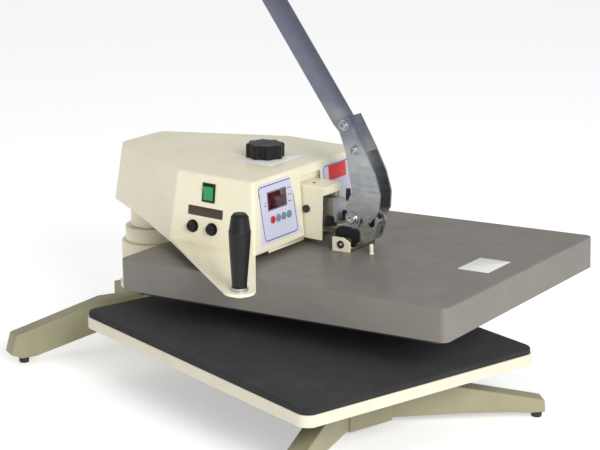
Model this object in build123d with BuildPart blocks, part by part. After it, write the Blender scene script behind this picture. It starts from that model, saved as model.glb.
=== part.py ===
from build123d import *
import os
from math import atan2, cos, degrees, hypot, radians, sin, tan

os.makedirs("parts", exist_ok=True)

# Dry mounting press with a swing-away heated head. Millimetres, +Z up.
# Origin: centre of the pad's top face. X to the operator's right, -Y to the operator.
# "Head" sizes are given as the head stands when it is swung in over the pad.

# ---- driving dimensions -------------------------------------------------------------

# Working surfaces, the 20 x 25 inch size of press
platen_width = 508.0
platen_depth = 635.0
platen_corner = 20.0

# Pad and tray under it
pad_thickness = 11.0
tray_margin = 2.0
tray_thickness = 20.0
tray_skin = 5.0
tray_rib = 20.0
tray_cells_x = 3
tray_cells_y = 4
tray_support_thickness = 6.0
tray_support_inset = 16.0

# Stand
post_y = 476.7
rear_foot_set = 7.3
spine_tail = 59.3
ground_z = -140.0
foot_height = 12.0
foot_radius = 10.0
foot_x = 286.0
front_foot_y = -298.0
rear_foot_y = post_y + rear_foot_set
leg_width = 34.0
leg_web = 10.0
leg_flange = 7.0
front_leg_overhang = 11.0
rear_leg_overhang = 27.0
front_leg_end_height = 23.0
front_leg_root_drop = 10.0
front_leg_flat_top = 4.0
rear_leg_end_height = 46.0
leg_arch = 5.0
leg_corner = 5.0
front_leg_angle = 29.4
spine_width = 95.0
spine_wall = 8.0
spine_top_wall = 10.0
spine_front_y = -185.0
spine_rear_y = post_y + spine_tail

# Column
post_radius = 22.0
column_plate_width = 248.0
column_plate_depth = 116.0
column_plate_thickness = 10.0
column_radius = 50.0
column_top_z = 50.0
collar_radius = 46.5
collar_top_z = 84.0
thrust_washer_thickness = 2.0
post_thread_length = 20.0
nut_height = 13.0
nut_across_flats = 46.0

# Head
rest_swing = 17.15
chassis_bottom_z = 125.0
chassis_thickness = 8.0
housing_height = 124.0
housing_wall = 2.5
housing_base_half_width = 189.0
housing_top_half_width = 177.0
housing_front_base_y = 95.0
housing_front_top_y = 108.0
housing_bend_base_y = 283.0
housing_bend_top_y = 272.0
housing_rear_base_y = post_y + 44.3
housing_rear_top_y = post_y + 22.3
housing_rear_base_half = 66.0
housing_rear_top_half = 61.0
housing_front_corner = 6.0
housing_bend_corner = 16.0
housing_rear_corner = 26.0
housing_top_round = 6.0
sleeve_lower_radius = 38.5
sleeve_upper_radius = 31.0
sleeve_top_z = 182.0
bush_wall = 4.0
bush_length = 40.0
rib_thickness = 6.0
rib_gap_half = 29.5
rib_front_y = 152.0
rib_front_height = 34.0
rib_rear_height = 84.0

# Swing handle on the left of the head
wing_thickness = 5.0
wing_tab = 40.0
wing_tip_x = -367.0
wing_tip_y = -1.0
wing_tip_radius = 27.0
wing_front_root_x = -176.0
wing_front_root_y = 101.0
wing_rear_root_x = -186.0
wing_rear_root_y = 284.0
grip_length = 124.0
grip_seam_share = 0.765
grip_top_radius = 13.5
grip_wide_radius = 18.5
grip_base_radius = 12.5
grip_collar_radius = 15.0
grip_collar_height = 6.0
grip_bolt_radius = 5.0

# Beam inside the head
bracket_width = 60.0
beam_wall = 4.0
beam_top_gap = 0.2
bracket_top_z = 226.0
beam_bottom_z = 137.0
beam_pivot_setback = 76.7
beam_pivot_y = post_y - beam_pivot_setback
beam_tail = 26.0
beam_rear_y = beam_pivot_y + beam_tail
beam_pivot_z = 200.0
beam_pin_radius = 8.0
bracket_front_y = 57.0
bracket_length = 92.0
bracket_bottom_z = 128.0
bracket_sheet = 3.0
bracket_lip = 15.0
tongue_thickness = 20.0
tongue_bottom_z = 161.0
tongue_height = 43.0
tongue_nose = 15.0
tongue_rear_y = 146.0
sight_slot_height = 20.0
sight_slot_width = 11.0
tongue_bolt_y = 92.5
tongue_bolt_spacing = 36.0
tongue_bolt_radius = 5.0
tongue_bolt_head_radius = 7.0

# Pressure screw
screw_y = 206.0
screw_radius = 8.0
screw_foot_height = 14.0
knob_radius = 36.0
knob_height = 25.0
knob_lobes = 8
knob_lobe_radius = 8.0
knob_lift = 4.5

# Toggle: lever, link and push block
pivot_y = 0.0
pivot_z = 176.0
pivot_radius = 7.0
pivot_spacer_radius = 8.0
axle_y = 10.0
axle_z = 132.0
axle_radius = 7.0
lever_travel = 110.0
lever_lean = 37.2
crank_pin_radius = 5.0
yoke_rise = 184.0
yoke_inner_half = 17.0
yoke_plate = 4.0
yoke_web = 4.5
yoke_ear_radius = 15.5
bar_depth = 34.0
bar_thickness = 18.0
bar_y = 35.5
bar_z = 352.0
bar_reach = 405.0
bar_edge = 1.2
lever_screw_radius = 5.0
lever_screw_head_radius = 9.0
lever_grip_length = 125.0
lever_grip_wall = 3.5
link_inner_half = 11.2
link_plate = 4.5
link_knee_y = -30.0
link_knee_z = 150.0
link_knee_radius = 12.0
link_window_x = 6.0
link_window_width = 6.0
link_window_height = 14.0
link_eye_radius = 11.0
link_top_wall = 5.0
link_web_top = 172.0
block_eye_radius = 10.0
block_rear_y = 30.5
block_bottom_z = 126.0
block_top_z = 143.0
guide_y = 23.5
guide_radius = 4.5
guide_top_z = 224.0

# Heated platen, hung on the axle
platen_tilt = 2.78
axle_above_cover = 12.8
cover_margin = 16.0
cover_height = 57.75
cover_sheet = 2.0
cover_corner = 12.0
cover_edge_round = 3.0
cover_slot_x = 54.0
cover_slot_width = 5.0
cover_slot_length = 24.0
heat_plate_thickness = 16.0
heat_plate_drop = 9.0
insulation_thickness = 40.0
element_radius = 4.0
element_runs = 6
element_pitch = 84.0
element_length = 560.0
saddle_length = 86.0
saddle_depth = 36.0
saddle_sheet = 4.0
saddle_ear_height = 25.0
saddle_strip = 5.0
saddle_opening_margin = 7.0
hanger_radius = 6.0
hanger_spacing_x = 336.0
hanger_spacing_y = 460.0
probe_radius = 5.0
probe_height = 7.0

# Controls
panel_thickness = 1.2
panel_drop = 16.0
panel_height = housing_height - panel_drop
panel_top_width = 98.0
panel_bottom_width = 127.0
panel_left_x = -167.0
panel_base = 9.0
display_width = 54.0
display_height = 30.0
display_x = -111.0
display_rise = 83.0
display_proud = 0.6
key_radius = 6.5
key_spacing = 17.0
key_x = -102.8
key_rise = 49.0
key_proud = 1.2
key_travel = 0.8
key_stem_radius = 3.5
rocker_y = 200.5
rocker_drop = 31.0
rocker_rise = housing_height - rocker_drop
rocker_bezel_width = 27.0
rocker_bezel_height = 34.0
rocker_width = 20.0
rocker_height = 27.0
bezel_proud = 2.0
fuse_spacing = 42.0
fuse_y = 210.5
fuse_rise = 29.0
fuse_flange_radius = 11.5
fuse_cap_radius = 8.5
fuse_body_radius = 7.0
fuse_body_length = 34.0
board_thickness = 1.6
board_gap = 14.0
board_edge = 20.0
board_part_width = 28.0
board_part_height = 24.0
board_part_depth = 16.0
inlet_width = 48.0
inlet_height = 28.0
inlet_depth = 22.0

# Clearances
running_fit = 0.05
free_gap = 0.3
slot_gap = 0.7
screw_gap = 1.2
press_gap = 0.3

# ---- places worked out from them ----------------------------------------------------

tray_width = platen_width + 2 * tray_margin
tray_depth = platen_depth + 2 * tray_margin
tray_top_z = -pad_thickness
tray_bottom_z = tray_top_z - tray_thickness
spine_top_z = tray_bottom_z - tray_support_thickness
leg_bottom_z = ground_z + foot_height
column_plate_top_z = spine_top_z + column_plate_thickness
sleeve_bottom_z = collar_top_z + thrust_washer_thickness
chassis_top_z = chassis_bottom_z + chassis_thickness
housing_top_z = chassis_top_z + housing_height
post_top_z = sleeve_top_z + post_thread_length
bush_radius = post_radius + running_fit + bush_wall

heat_plate_depth_below_axle = axle_above_cover + cover_height + heat_plate_drop
axle_pressed_z = heat_plate_depth_below_axle + press_gap
press_stroke = axle_z - axle_pressed_z

# Toggle triangle in the head's side view (y, z): crank radius and link length
beam_half = bracket_width / 2 - bracket_sheet - beam_top_gap
beam_top_z = bracket_top_z - bracket_sheet - beam_top_gap
reach_y = axle_y - pivot_y
reach_open_z = axle_z - pivot_z
reach_pressed_z = axle_pressed_z - pivot_z
reach_open = hypot(reach_y, reach_open_z)
reach_pressed = hypot(reach_y, reach_pressed_z)
crank_turn = radians(lever_travel)
crank_open_y = (reach_y * cos(crank_turn) + reach_pressed_z * sin(crank_turn)) / reach_pressed
crank_open_z = (reach_pressed_z * cos(crank_turn) - reach_y * sin(crank_turn)) / reach_pressed
crank_along = crank_open_y * reach_y + crank_open_z * reach_open_z
crank_radius = (reach_pressed**2 - reach_open**2) / (2 * (reach_pressed - crank_along))
link_length = reach_pressed - crank_radius
crank_pin_y = pivot_y + crank_radius * crank_open_y
crank_pin_z = pivot_z + crank_radius * crank_open_z
link_lean = degrees(atan2(axle_y - crank_pin_y, crank_pin_z - axle_z))
link_lean_pressed = degrees(atan2(reach_y, -reach_pressed_z))

# ---- working planes -----------------------------------------------------------------

swing = radians(rest_swing)
head = Plane(
    origin=(post_y * sin(swing), post_y * (1 - cos(swing)), 0),
    x_dir=(cos(swing), sin(swing), 0),
    z_dir=(0, 0, 1),
)


def head_level(z):
    """Level plane of the head at height z."""
    return head.offset(z)


def head_side(x, y=0, z=0, lean=0):
    """Upright plane facing the head's right, with +X to the rear; lean tips its top forward."""
    tip = radians(lean)
    along = head.y_dir * cos(tip) + head.z_dir * sin(tip)
    return Plane(origin=head.from_local_coords((x, y, z)), x_dir=along, z_dir=head.x_dir)


def head_front(y):
    """Upright plane facing the operator at the head's depth y."""
    return Plane(origin=head.from_local_coords((0, y, 0)), x_dir=head.x_dir, z_dir=-head.y_dir)


front_rake = atan2(housing_front_top_y - housing_front_base_y, housing_height)
flank_rake = atan2(housing_base_half_width - housing_top_half_width, housing_height)
front_face = Plane(
    origin=head.from_local_coords((0, housing_front_base_y, chassis_top_z)),
    x_dir=head.x_dir,
    z_dir=head.z_dir * sin(front_rake) - head.y_dir * cos(front_rake),
)
left_face = Plane(
    origin=head.from_local_coords((-housing_base_half_width, 0, chassis_top_z)),
    x_dir=-head.y_dir,
    z_dir=head.z_dir * sin(flank_rake) - head.x_dir * cos(flank_rake),
)
right_face = Plane(
    origin=head.from_local_coords((housing_base_half_width, 0, chassis_top_z)),
    x_dir=head.y_dir,
    z_dir=head.z_dir * sin(flank_rake) + head.x_dir * cos(flank_rake),
)

tilt = radians(platen_tilt)
platen = Plane(
    origin=head.from_local_coords((0, axle_y, axle_z)),
    x_dir=head.x_dir,
    z_dir=head.z_dir * cos(tilt) + head.y_dir * sin(tilt),
)
cover_top = -axle_above_cover
cover_bottom = cover_top - cover_height
heat_plate_bottom = cover_bottom - heat_plate_drop


def finish(piece, name):
    """Label a finished piece and write it."""
    piece.part.label = name
    export_step(piece.part, f"parts/{name}.step")


# ---- stand --------------------------------------------------------------------------

with BuildPart() as rubber_feet:
    with Locations(
        (foot_x, front_foot_y, ground_z),
        (-foot_x, front_foot_y, ground_z),
        (foot_x, rear_foot_y, ground_z),
        (-foot_x, rear_foot_y, ground_z),
    ):
        Cone(foot_radius - 1, foot_radius, foot_height, align=(Align.CENTER, Align.CENTER, Align.MIN))
finish(rubber_feet, "rubber_feet")

spine_half = spine_width / 2

with BuildPart() as base_spine:
    spine_length = spine_rear_y - spine_front_y
    with BuildSketch(Plane.XY.offset(leg_bottom_z)):
        with Locations((0, spine_front_y)):
            Rectangle(spine_width, spine_length, align=(Align.CENTER, Align.MIN))
    extrude(amount=spine_top_z - leg_bottom_z)
    with BuildSketch(Plane.XY.offset(leg_bottom_z)):
        with Locations((0, spine_front_y + spine_wall)):
            Rectangle(
                spine_width - 2 * spine_wall,
                spine_length - 2 * spine_wall,
                align=(Align.CENTER, Align.MIN),
            )
    extrude(amount=spine_top_z - leg_bottom_z - spine_top_wall, mode=Mode.SUBTRACT)
finish(base_spine, "base_spine")


def make_leg(name, foot_y, side, angle, overhang, end_height, flat_top, root_drop):
    """Cast leg from its foot up to the spine: flanged, arched underneath, cut flush with the spine."""
    heading = radians(angle)
    along = (-side * cos(heading), sin(heading), 0)
    across = (side * sin(heading), cos(heading), 0) if side > 0 else (-sin(heading), -cos(heading), 0)
    leg_origin = Vector(side * foot_x, foot_y, 0)
    upright = Plane(origin=leg_origin, x_dir=along, z_dir=Vector(*along).cross(Vector(0, 0, 1)))
    run = (foot_x - spine_half) / cos(heading)
    past = leg_width / 2 * tan(heading) + 1
    end_top = leg_bottom_z + end_height
    root_top = spine_top_z - root_drop
    pad_half = foot_radius + leg_flange
    with BuildPart() as leg:
        with BuildSketch(upright) as side_view:
            with BuildLine():
                Polyline(
                    (pad_half, leg_bottom_z),
                    (-overhang, leg_bottom_z),
                    (-overhang, end_top),
                    (run - flat_top, root_top),
                    (run + past, root_top),
                    (run + past, leg_bottom_z),
                )
                ThreePointArc(
                    (run + past, leg_bottom_z),
                    ((run + pad_half) / 2, leg_bottom_z + leg_arch),
                    (pad_half, leg_bottom_z),
                )
            make_face()
        extrude(amount=leg_width / 2, both=True)
        end_edges = leg.edges().filter_by(lambda e: abs(e.length - leg_width) < 0.01)
        outer_end = end_edges.sort_by(Axis(leg_origin, along))[:2]
        fillet(outer_end.sort_by(Axis.Z)[-1], leg_corner)
        for face_side in (1, -1):
            with BuildSketch(upright.offset(face_side * leg_width / 2)):
                with BuildLine():
                    Polyline(
                        (pad_half, leg_bottom_z + leg_flange),
                        (leg_flange - overhang, leg_bottom_z + leg_flange),
                        (leg_flange - overhang, end_top - leg_flange),
                        (run - flat_top - past - leg_flange, root_top - leg_flange),
                        (run - past - leg_flange, root_top - leg_flange),
                        (run - past - leg_flange, leg_bottom_z + leg_flange),
                    )
                    ThreePointArc(
                        (run - past - leg_flange, leg_bottom_z + leg_flange),
                        ((run + pad_half) / 2, leg_bottom_z + leg_arch + leg_flange),
                        (pad_half, leg_bottom_z + leg_flange),
                    )
                make_face()
            extrude(amount=-face_side * (leg_width - leg_web) / 2, mode=Mode.SUBTRACT)
        wall = Plane(origin=(side * spine_half, 0, 0), z_dir=(side, 0, 0))
        split(bisect_by=wall, keep=Keep.TOP)
    finish(leg, name)


rear_flat_top = column_plate_width / 2 - spine_half
for side, word in ((1, "right"), (-1, "left")):
    make_leg(
        f"front_leg_{word}",
        front_foot_y,
        side,
        front_leg_angle,
        front_leg_overhang,
        front_leg_end_height,
        front_leg_flat_top,
        front_leg_root_drop,
    )
    make_leg(
        f"rear_leg_{word}",
        rear_foot_y,
        side,
        0,
        rear_leg_overhang,
        rear_leg_end_height,
        rear_flat_top,
        0,
    )

with BuildPart() as tray_support:
    with BuildSketch(Plane.XY.offset(spine_top_z)):
        RectangleRounded(
            tray_width - 2 * tray_support_inset,
            tray_depth - 2 * tray_support_inset,
            platen_corner,
        )
    extrude(amount=tray_support_thickness)
finish(tray_support, "tray_support")

with BuildPart() as lower_tray:
    with BuildSketch(Plane.XY.offset(tray_bottom_z)):
        RectangleRounded(tray_width, tray_depth, platen_corner + tray_margin)
    extrude(amount=tray_thickness)
    top_rim = lower_tray.faces().sort_by(Axis.Z)[-1].edges()
    fillet(top_rim, tray_margin / 2)
    pocket_width = (tray_width - (tray_cells_x + 1) * tray_rib) / tray_cells_x
    pocket_depth = (tray_depth - (tray_cells_y + 1) * tray_rib) / tray_cells_y
    with BuildSketch(Plane.XY.offset(tray_bottom_z)):
        with GridLocations(pocket_width + tray_rib, pocket_depth + tray_rib, tray_cells_x, tray_cells_y):
            RectangleRounded(pocket_width, pocket_depth, platen_corner / 2)
    extrude(amount=tray_thickness - tray_skin, mode=Mode.SUBTRACT)
finish(lower_tray, "lower_tray")

with BuildPart() as lower_pad:
    with BuildSketch(Plane.XY.offset(tray_top_z)):
        RectangleRounded(platen_width, platen_depth, platen_corner)
    extrude(amount=pad_thickness)
finish(lower_pad, "lower_pad")

# ---- column -------------------------------------------------------------------------

with BuildPart() as column:
    with BuildSketch(Plane.XY.offset(spine_top_z)):
        with Locations((0, post_y)):
            RectangleRounded(column_plate_width, column_plate_depth, leg_width / 2)
            Circle(post_radius, mode=Mode.SUBTRACT)
    extrude(amount=column_plate_thickness)
    chamfer(column.faces().sort_by(Axis.Z)[-1].outer_wire().edges(), 1.5)
    with BuildSketch(Plane.XY.offset(column_plate_top_z)):
        with Locations((0, post_y)):
            Circle(column_radius)
            Circle(post_radius, mode=Mode.SUBTRACT)
    extrude(amount=column_top_z - column_plate_top_z)
    outer_rims = column.edges().filter_by(GeomType.CIRCLE)
    outer_rims = outer_rims.filter_by(lambda e: e.radius > post_radius + 1)
    chamfer(outer_rims.sort_by(Axis.Z)[-1], 2)
finish(column, "column")

with BuildPart() as swing_post:
    with BuildSketch(Plane.XY.offset(spine_top_z)):
        with Locations((0, post_y)):
            Circle(post_radius)
    extrude(amount=post_top_z - spine_top_z)
    chamfer(swing_post.edges().sort_by(Axis.Z)[-1], 1.5)
finish(swing_post, "swing_post")

with BuildPart() as swing_collar:
    with BuildSketch(Plane.XY.offset(column_top_z)):
        with Locations((0, post_y)):
            Circle(collar_radius)
            Circle(post_radius, mode=Mode.SUBTRACT)
    extrude(amount=collar_top_z - column_top_z)
    collar_rims = swing_collar.edges().filter_by(GeomType.CIRCLE)
    collar_rims = collar_rims.filter_by(lambda e: e.radius > post_radius + 1)
    chamfer(collar_rims, 1.5)
finish(swing_collar, "swing_collar")

with BuildPart() as post_fittings:
    with BuildSketch(Plane.XY.offset(collar_top_z)):
        with Locations((0, post_y)):
            Circle(sleeve_lower_radius - 2)
            Circle(post_radius, mode=Mode.SUBTRACT)
    extrude(amount=thrust_washer_thickness)
    with BuildSketch(Plane.XY.offset(sleeve_top_z + free_gap)):
        with Locations((0, post_y)):
            Circle(sleeve_upper_radius - 3)
            Circle(post_radius, mode=Mode.SUBTRACT)
    extrude(amount=thrust_washer_thickness)
    with BuildSketch(Plane.XY.offset(sleeve_top_z + free_gap + thrust_washer_thickness)):
        with Locations((0, post_y)):
            RegularPolygon(nut_across_flats / 2, 6, major_radius=False)
            Circle(post_radius, mode=Mode.SUBTRACT)
    extrude(amount=nut_height)
finish(post_fittings, "post_fittings")

# ---- head frame ---------------------------------------------------------------------

with BuildPart() as head_sleeve:
    with BuildSketch(head_level(sleeve_bottom_z)):
        with Locations((0, post_y)):
            Circle(sleeve_lower_radius)
    extrude(amount=chassis_bottom_z - sleeve_bottom_z)
    with BuildSketch(head_level(chassis_bottom_z)):
        with Locations((0, post_y)):
            Circle(sleeve_upper_radius)
    extrude(amount=sleeve_top_z - chassis_bottom_z)
    with BuildSketch(head_level(sleeve_bottom_z)):
        with Locations((0, post_y)):
            Circle(bush_radius)
    extrude(amount=sleeve_top_z - sleeve_bottom_z, mode=Mode.SUBTRACT)
finish(head_sleeve, "head_sleeve")

with BuildPart() as post_bushes:
    for level in (sleeve_bottom_z, sleeve_top_z - bush_length):
        with BuildSketch(head_level(level)):
            with Locations((0, post_y)):
                Circle(bush_radius)
                Circle(post_radius + running_fit, mode=Mode.SUBTRACT)
        extrude(amount=bush_length)
finish(post_bushes, "post_bushes")


def housing_outline(level, rise, inset):
    """Outline of the head at a height above the chassis, drawn in by inset."""
    share = rise / housing_height
    half = housing_base_half_width + share * (housing_top_half_width - housing_base_half_width)
    front = housing_front_base_y + share * (housing_front_top_y - housing_front_base_y)
    bend = housing_bend_base_y + share * (housing_bend_top_y - housing_bend_base_y)
    rear = housing_rear_base_y + share * (housing_rear_top_y - housing_rear_base_y)
    rear_half = housing_rear_base_half + share * (housing_rear_top_half - housing_rear_base_half)
    with BuildSketch(level, mode=Mode.PRIVATE) as outline:
        with BuildLine():
            Polyline(
                (-half, front),
                (half, front),
                (half, bend),
                (rear_half, rear),
                (-rear_half, rear),
                (-half, bend),
                close=True,
            )
        make_face()
        corners = outline.vertices().group_by(Axis.Y)
        fillet(corners[0], housing_front_corner)
        corners = outline.vertices().filter_by(lambda v: abs(v.Y - bend) < 0.01)
        fillet(corners, housing_bend_corner)
        corners = outline.vertices().filter_by(lambda v: abs(v.Y - rear) < 0.01)
        fillet(corners, housing_rear_corner)
        if inset:
            offset(amount=-inset, mode=Mode.REPLACE)
    return outline.sketch


bracket_notch_half = bracket_width / 2 + 4
with BuildSketch(head_level(chassis_bottom_z)) as wing_outline:
    with BuildLine():
        Polyline(
            (wing_front_root_x + wing_tab, wing_front_root_y),
            (wing_front_root_x, wing_front_root_y),
            (wing_tip_x, wing_tip_y),
            (wing_rear_root_x, wing_rear_root_y),
            (wing_rear_root_x + wing_tab, wing_rear_root_y),
            close=True,
        )
    make_face()
    with Locations((wing_tip_x, wing_tip_y)):
        Circle(wing_tip_radius)
    make_hull()

with BuildPart() as chassis_plate:
    add(housing_outline(head_level(chassis_bottom_z), 0, 0))
    extrude(amount=chassis_thickness)
    with BuildSketch(head_level(chassis_bottom_z)):
        with Locations((0, post_y)):
            Circle(sleeve_upper_radius)
        with Locations((0, housing_front_base_y - 1)):
            Rectangle(
                2 * bracket_notch_half,
                bracket_front_y + bracket_length - housing_front_base_y + 5,
                align=(Align.CENTER, Align.MIN),
            )
    extrude(amount=chassis_thickness, mode=Mode.SUBTRACT)
    add(wing_outline.sketch)
    extrude(amount=wing_thickness, mode=Mode.SUBTRACT)
finish(chassis_plate, "chassis_plate")

with BuildPart() as swing_wing:
    add(wing_outline.sketch)
    extrude(amount=wing_thickness)
    with BuildSketch(head_level(chassis_bottom_z)):
        with Locations((wing_tip_x, wing_tip_y)):
            Circle(grip_bolt_radius)
    extrude(amount=wing_thickness, mode=Mode.SUBTRACT)
    chamfer(swing_wing.faces().sort_by(Axis.Z)[-1].outer_wire().edges(), 0.8)
finish(swing_wing, "swing_wing")

wing_top_z = chassis_bottom_z + wing_thickness
with BuildPart() as grip_bolt:
    with BuildSketch(head_level(chassis_bottom_z)):
        with Locations((wing_tip_x, wing_tip_y)):
            Circle(grip_bolt_radius)
    extrude(amount=wing_thickness + grip_length / 2)
    with BuildSketch(head_level(chassis_bottom_z - grip_collar_height)):
        with Locations((wing_tip_x, wing_tip_y)):
            Circle(2 * grip_bolt_radius)
    extrude(amount=grip_collar_height)
    with BuildSketch(head_level(wing_top_z)):
        with Locations((wing_tip_x, wing_tip_y)):
            Circle(grip_collar_radius)
    extrude(amount=grip_collar_height)
finish(grip_bolt, "grip_bolt")

with BuildPart() as swing_grip:
    grip_foot_z = wing_top_z + grip_collar_height
    seam = grip_length * grip_seam_share
    with BuildSketch(head_side(wing_tip_x, wing_tip_y, grip_foot_z)):
        with BuildLine():
            Line((0, 0), (grip_base_radius, 0))
            Spline(
                (grip_base_radius, 0),
                (grip_base_radius + 3.2, seam * 0.5),
                (grip_wide_radius, seam),
                tangents=((0.05, 1), (0.04, 1)),
            )
            Polyline(
                (grip_wide_radius, seam),
                (grip_wide_radius - 0.8, seam + 1.5),
                (grip_top_radius + 1, grip_length - 5),
                (grip_top_radius - 3, grip_length),
                (0, grip_length),
                (0, 0),
            )
        make_face()
    revolve(axis=Axis(head.from_local_coords((wing_tip_x, wing_tip_y, 0)), (0, 0, 1)))
    with BuildSketch(head_level(grip_foot_z)):
        with Locations((wing_tip_x, wing_tip_y)):
            Circle(grip_bolt_radius)
    extrude(amount=grip_length / 2 - grip_collar_height, mode=Mode.SUBTRACT)
finish(swing_grip, "swing_grip")

with BuildPart() as arm_ribs:
    for side in (1, -1):
        inner = side * rib_gap_half
        with BuildSketch(head_side(inner)):
            with BuildLine():
                Polyline(
                    (rib_front_y, chassis_top_z),
                    (rib_front_y, chassis_top_z + rib_front_height),
                    (beam_pivot_y - 30, chassis_top_z + rib_rear_height),
                    (post_y, chassis_top_z + rib_rear_height),
                    (post_y, chassis_top_z),
                    close=True,
                )
            make_face()
            with Locations((beam_pivot_y, beam_pivot_z)):
                Circle(beam_pin_radius, mode=Mode.SUBTRACT)
        extrude(amount=side * rib_thickness)
    with BuildSketch(head_level(chassis_top_z)):
        with Locations((0, post_y)):
            Circle(sleeve_upper_radius)
    extrude(amount=rib_rear_height, mode=Mode.SUBTRACT)
finish(arm_ribs, "arm_ribs")

with BuildPart() as beam_pivot_pin:
    pin_half = rib_gap_half + rib_thickness
    with BuildSketch(head_side(-pin_half)):
        with Locations((beam_pivot_y, beam_pivot_z)):
            Circle(beam_pin_radius)
    extrude(amount=2 * pin_half)
    for side in (1, -1):
        with BuildSketch(head_side(side * pin_half)):
            with Locations((beam_pivot_y, beam_pivot_z)):
                Circle(beam_pin_radius + 4)
        extrude(amount=side * 4)
        with BuildSketch(head_side(side * rib_gap_half)):
            with Locations((beam_pivot_y, beam_pivot_z)):
                Circle(beam_pin_radius + 4)
        extrude(amount=-side * (rib_gap_half - beam_half - free_gap))
finish(beam_pivot_pin, "beam_pivot_pin")

with BuildPart() as screw_bearing:
    with BuildSketch(head_level(chassis_top_z)):
        with Locations((0, screw_y)):
            RectangleRounded(36, 44, 4)
    extrude(amount=screw_foot_height)
    with BuildSketch(head_level(chassis_top_z + 3)):
        with Locations((0, screw_y)):
            Circle(screw_radius + running_fit)
    extrude(amount=screw_foot_height, mode=Mode.SUBTRACT)
finish(screw_bearing, "screw_bearing")

# ---- housing ------------------------------------------------------------------------

key_places = [(key_x + key_spacing * (step - 1.5), key_rise) for step in range(4)]
fuse_places = [(-fuse_y - fuse_spacing / 2, fuse_rise), (-fuse_y + fuse_spacing / 2, fuse_rise)]
opening_top = bracket_top_z + bracket_lip - chassis_top_z
with BuildPart() as housing_space:
    add(housing_outline(head_level(chassis_top_z), 0, housing_wall))
    inner_rise = housing_height - housing_wall
    add(housing_outline(head_level(chassis_top_z + inner_rise), inner_rise, housing_wall))
    loft(ruled=True)

with BuildPart() as housing_cover:
    add(housing_outline(head_level(chassis_top_z), 0, 0))
    add(housing_outline(head_level(housing_top_z), housing_height, 0))
    loft(ruled=True)
    top_edges = housing_cover.faces().sort_by(Axis.Z)[-1].edges()
    fillet(top_edges, housing_top_round)
    add(housing_space.part, mode=Mode.SUBTRACT)
    with BuildSketch(front_face.offset(1)):
        Rectangle(2 * bracket_notch_half, opening_top, align=(Align.CENTER, Align.MIN))
    extrude(amount=-30, mode=Mode.SUBTRACT)
    with BuildSketch(head_level(housing_top_z + 1)):
        with Locations((0, screw_y)):
            Circle(screw_radius + screw_gap)
    extrude(amount=-2 * housing_wall - 1, mode=Mode.SUBTRACT)
    with BuildSketch(left_face.offset(1)):
        with Locations((-rocker_y, rocker_rise)):
            Rectangle(rocker_bezel_width - 3, rocker_bezel_height - 3)
        with Locations(*fuse_places):
            Circle(fuse_body_radius)
    extrude(amount=-2 * housing_wall - 1, mode=Mode.SUBTRACT)
    with BuildSketch(right_face.offset(1)):
        with Locations((fuse_y, rocker_rise / 2)):
            Rectangle(inlet_width - 4, inlet_height - 4)
    extrude(amount=-2 * housing_wall - 1, mode=Mode.SUBTRACT)
    with BuildSketch(front_face.offset(1)):
        with Locations((display_x, display_rise)):
            Rectangle(display_width - 6, display_height - 6)
        for place in key_places:
            with Locations(place):
                Circle(key_stem_radius + free_gap)
    extrude(amount=-2 * housing_wall - 1, mode=Mode.SUBTRACT)
finish(housing_cover, "housing_cover")

# ---- controls on the housing --------------------------------------------------------

with BuildPart() as control_panel:
    with BuildSketch(front_face):
        with BuildLine():
            Polyline(
                (panel_left_x, panel_base),
                (panel_left_x + panel_bottom_width, panel_base),
                (panel_left_x + panel_top_width, panel_base + panel_height),
                (panel_left_x + 4, panel_base + panel_height),
                close=True,
            )
        make_face()
        with Locations((display_x, display_rise)):
            Rectangle(display_width, display_height, mode=Mode.SUBTRACT)
        for place in key_places:
            with Locations(place):
                Circle(key_radius + free_gap, mode=Mode.SUBTRACT)
    extrude(amount=panel_thickness)
finish(control_panel, "control_panel")

with BuildPart() as display_window:
    with BuildSketch(front_face):
        with Locations((display_x, display_rise)):
            Rectangle(display_width, display_height)
    extrude(amount=panel_thickness + display_proud)
    with BuildSketch(front_face):
        with Locations((display_x, display_rise)):
            Rectangle(display_width - 7, display_height - 7)
    extrude(amount=-housing_wall - 3)
finish(display_window, "display_window")

key_names = ("red_key", "left_key", "middle_key", "right_key")
for place, key_name in zip(key_places, key_names):
    with BuildPart() as key:
        with BuildSketch(front_face.offset(key_travel + 0.1)):
            with Locations(place):
                Circle(key_radius)
        extrude(amount=panel_thickness + key_proud - 0.1)
        key_edges = key.edges().sort_by(Axis(front_face.origin, front_face.z_dir))
        chamfer(key_edges[-1], 0.5)
        with BuildSketch(front_face.offset(key_travel + 0.1)):
            with Locations(place):
                Circle(key_stem_radius)
        extrude(amount=-housing_wall - 5)
    finish(key, key_name)

bezel_hole_width = rocker_width + 1
bezel_hole_height = rocker_height + 1
with BuildPart() as rocker_bezel:
    with BuildSketch(left_face):
        with Locations((-rocker_y, rocker_rise)):
            Rectangle(rocker_bezel_width, rocker_bezel_height)
    extrude(amount=bezel_proud)
    with BuildSketch(left_face):
        with Locations((-rocker_y, rocker_rise)):
            Rectangle(rocker_bezel_width - 3.4, rocker_bezel_height - 3.4)
    extrude(amount=-22)
    with BuildSketch(left_face.offset(bezel_proud)):
        with Locations((-rocker_y, rocker_rise)):
            Rectangle(bezel_hole_width, bezel_hole_height)
    extrude(amount=-20, mode=Mode.SUBTRACT)
finish(rocker_bezel, "rocker_bezel")

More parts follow.
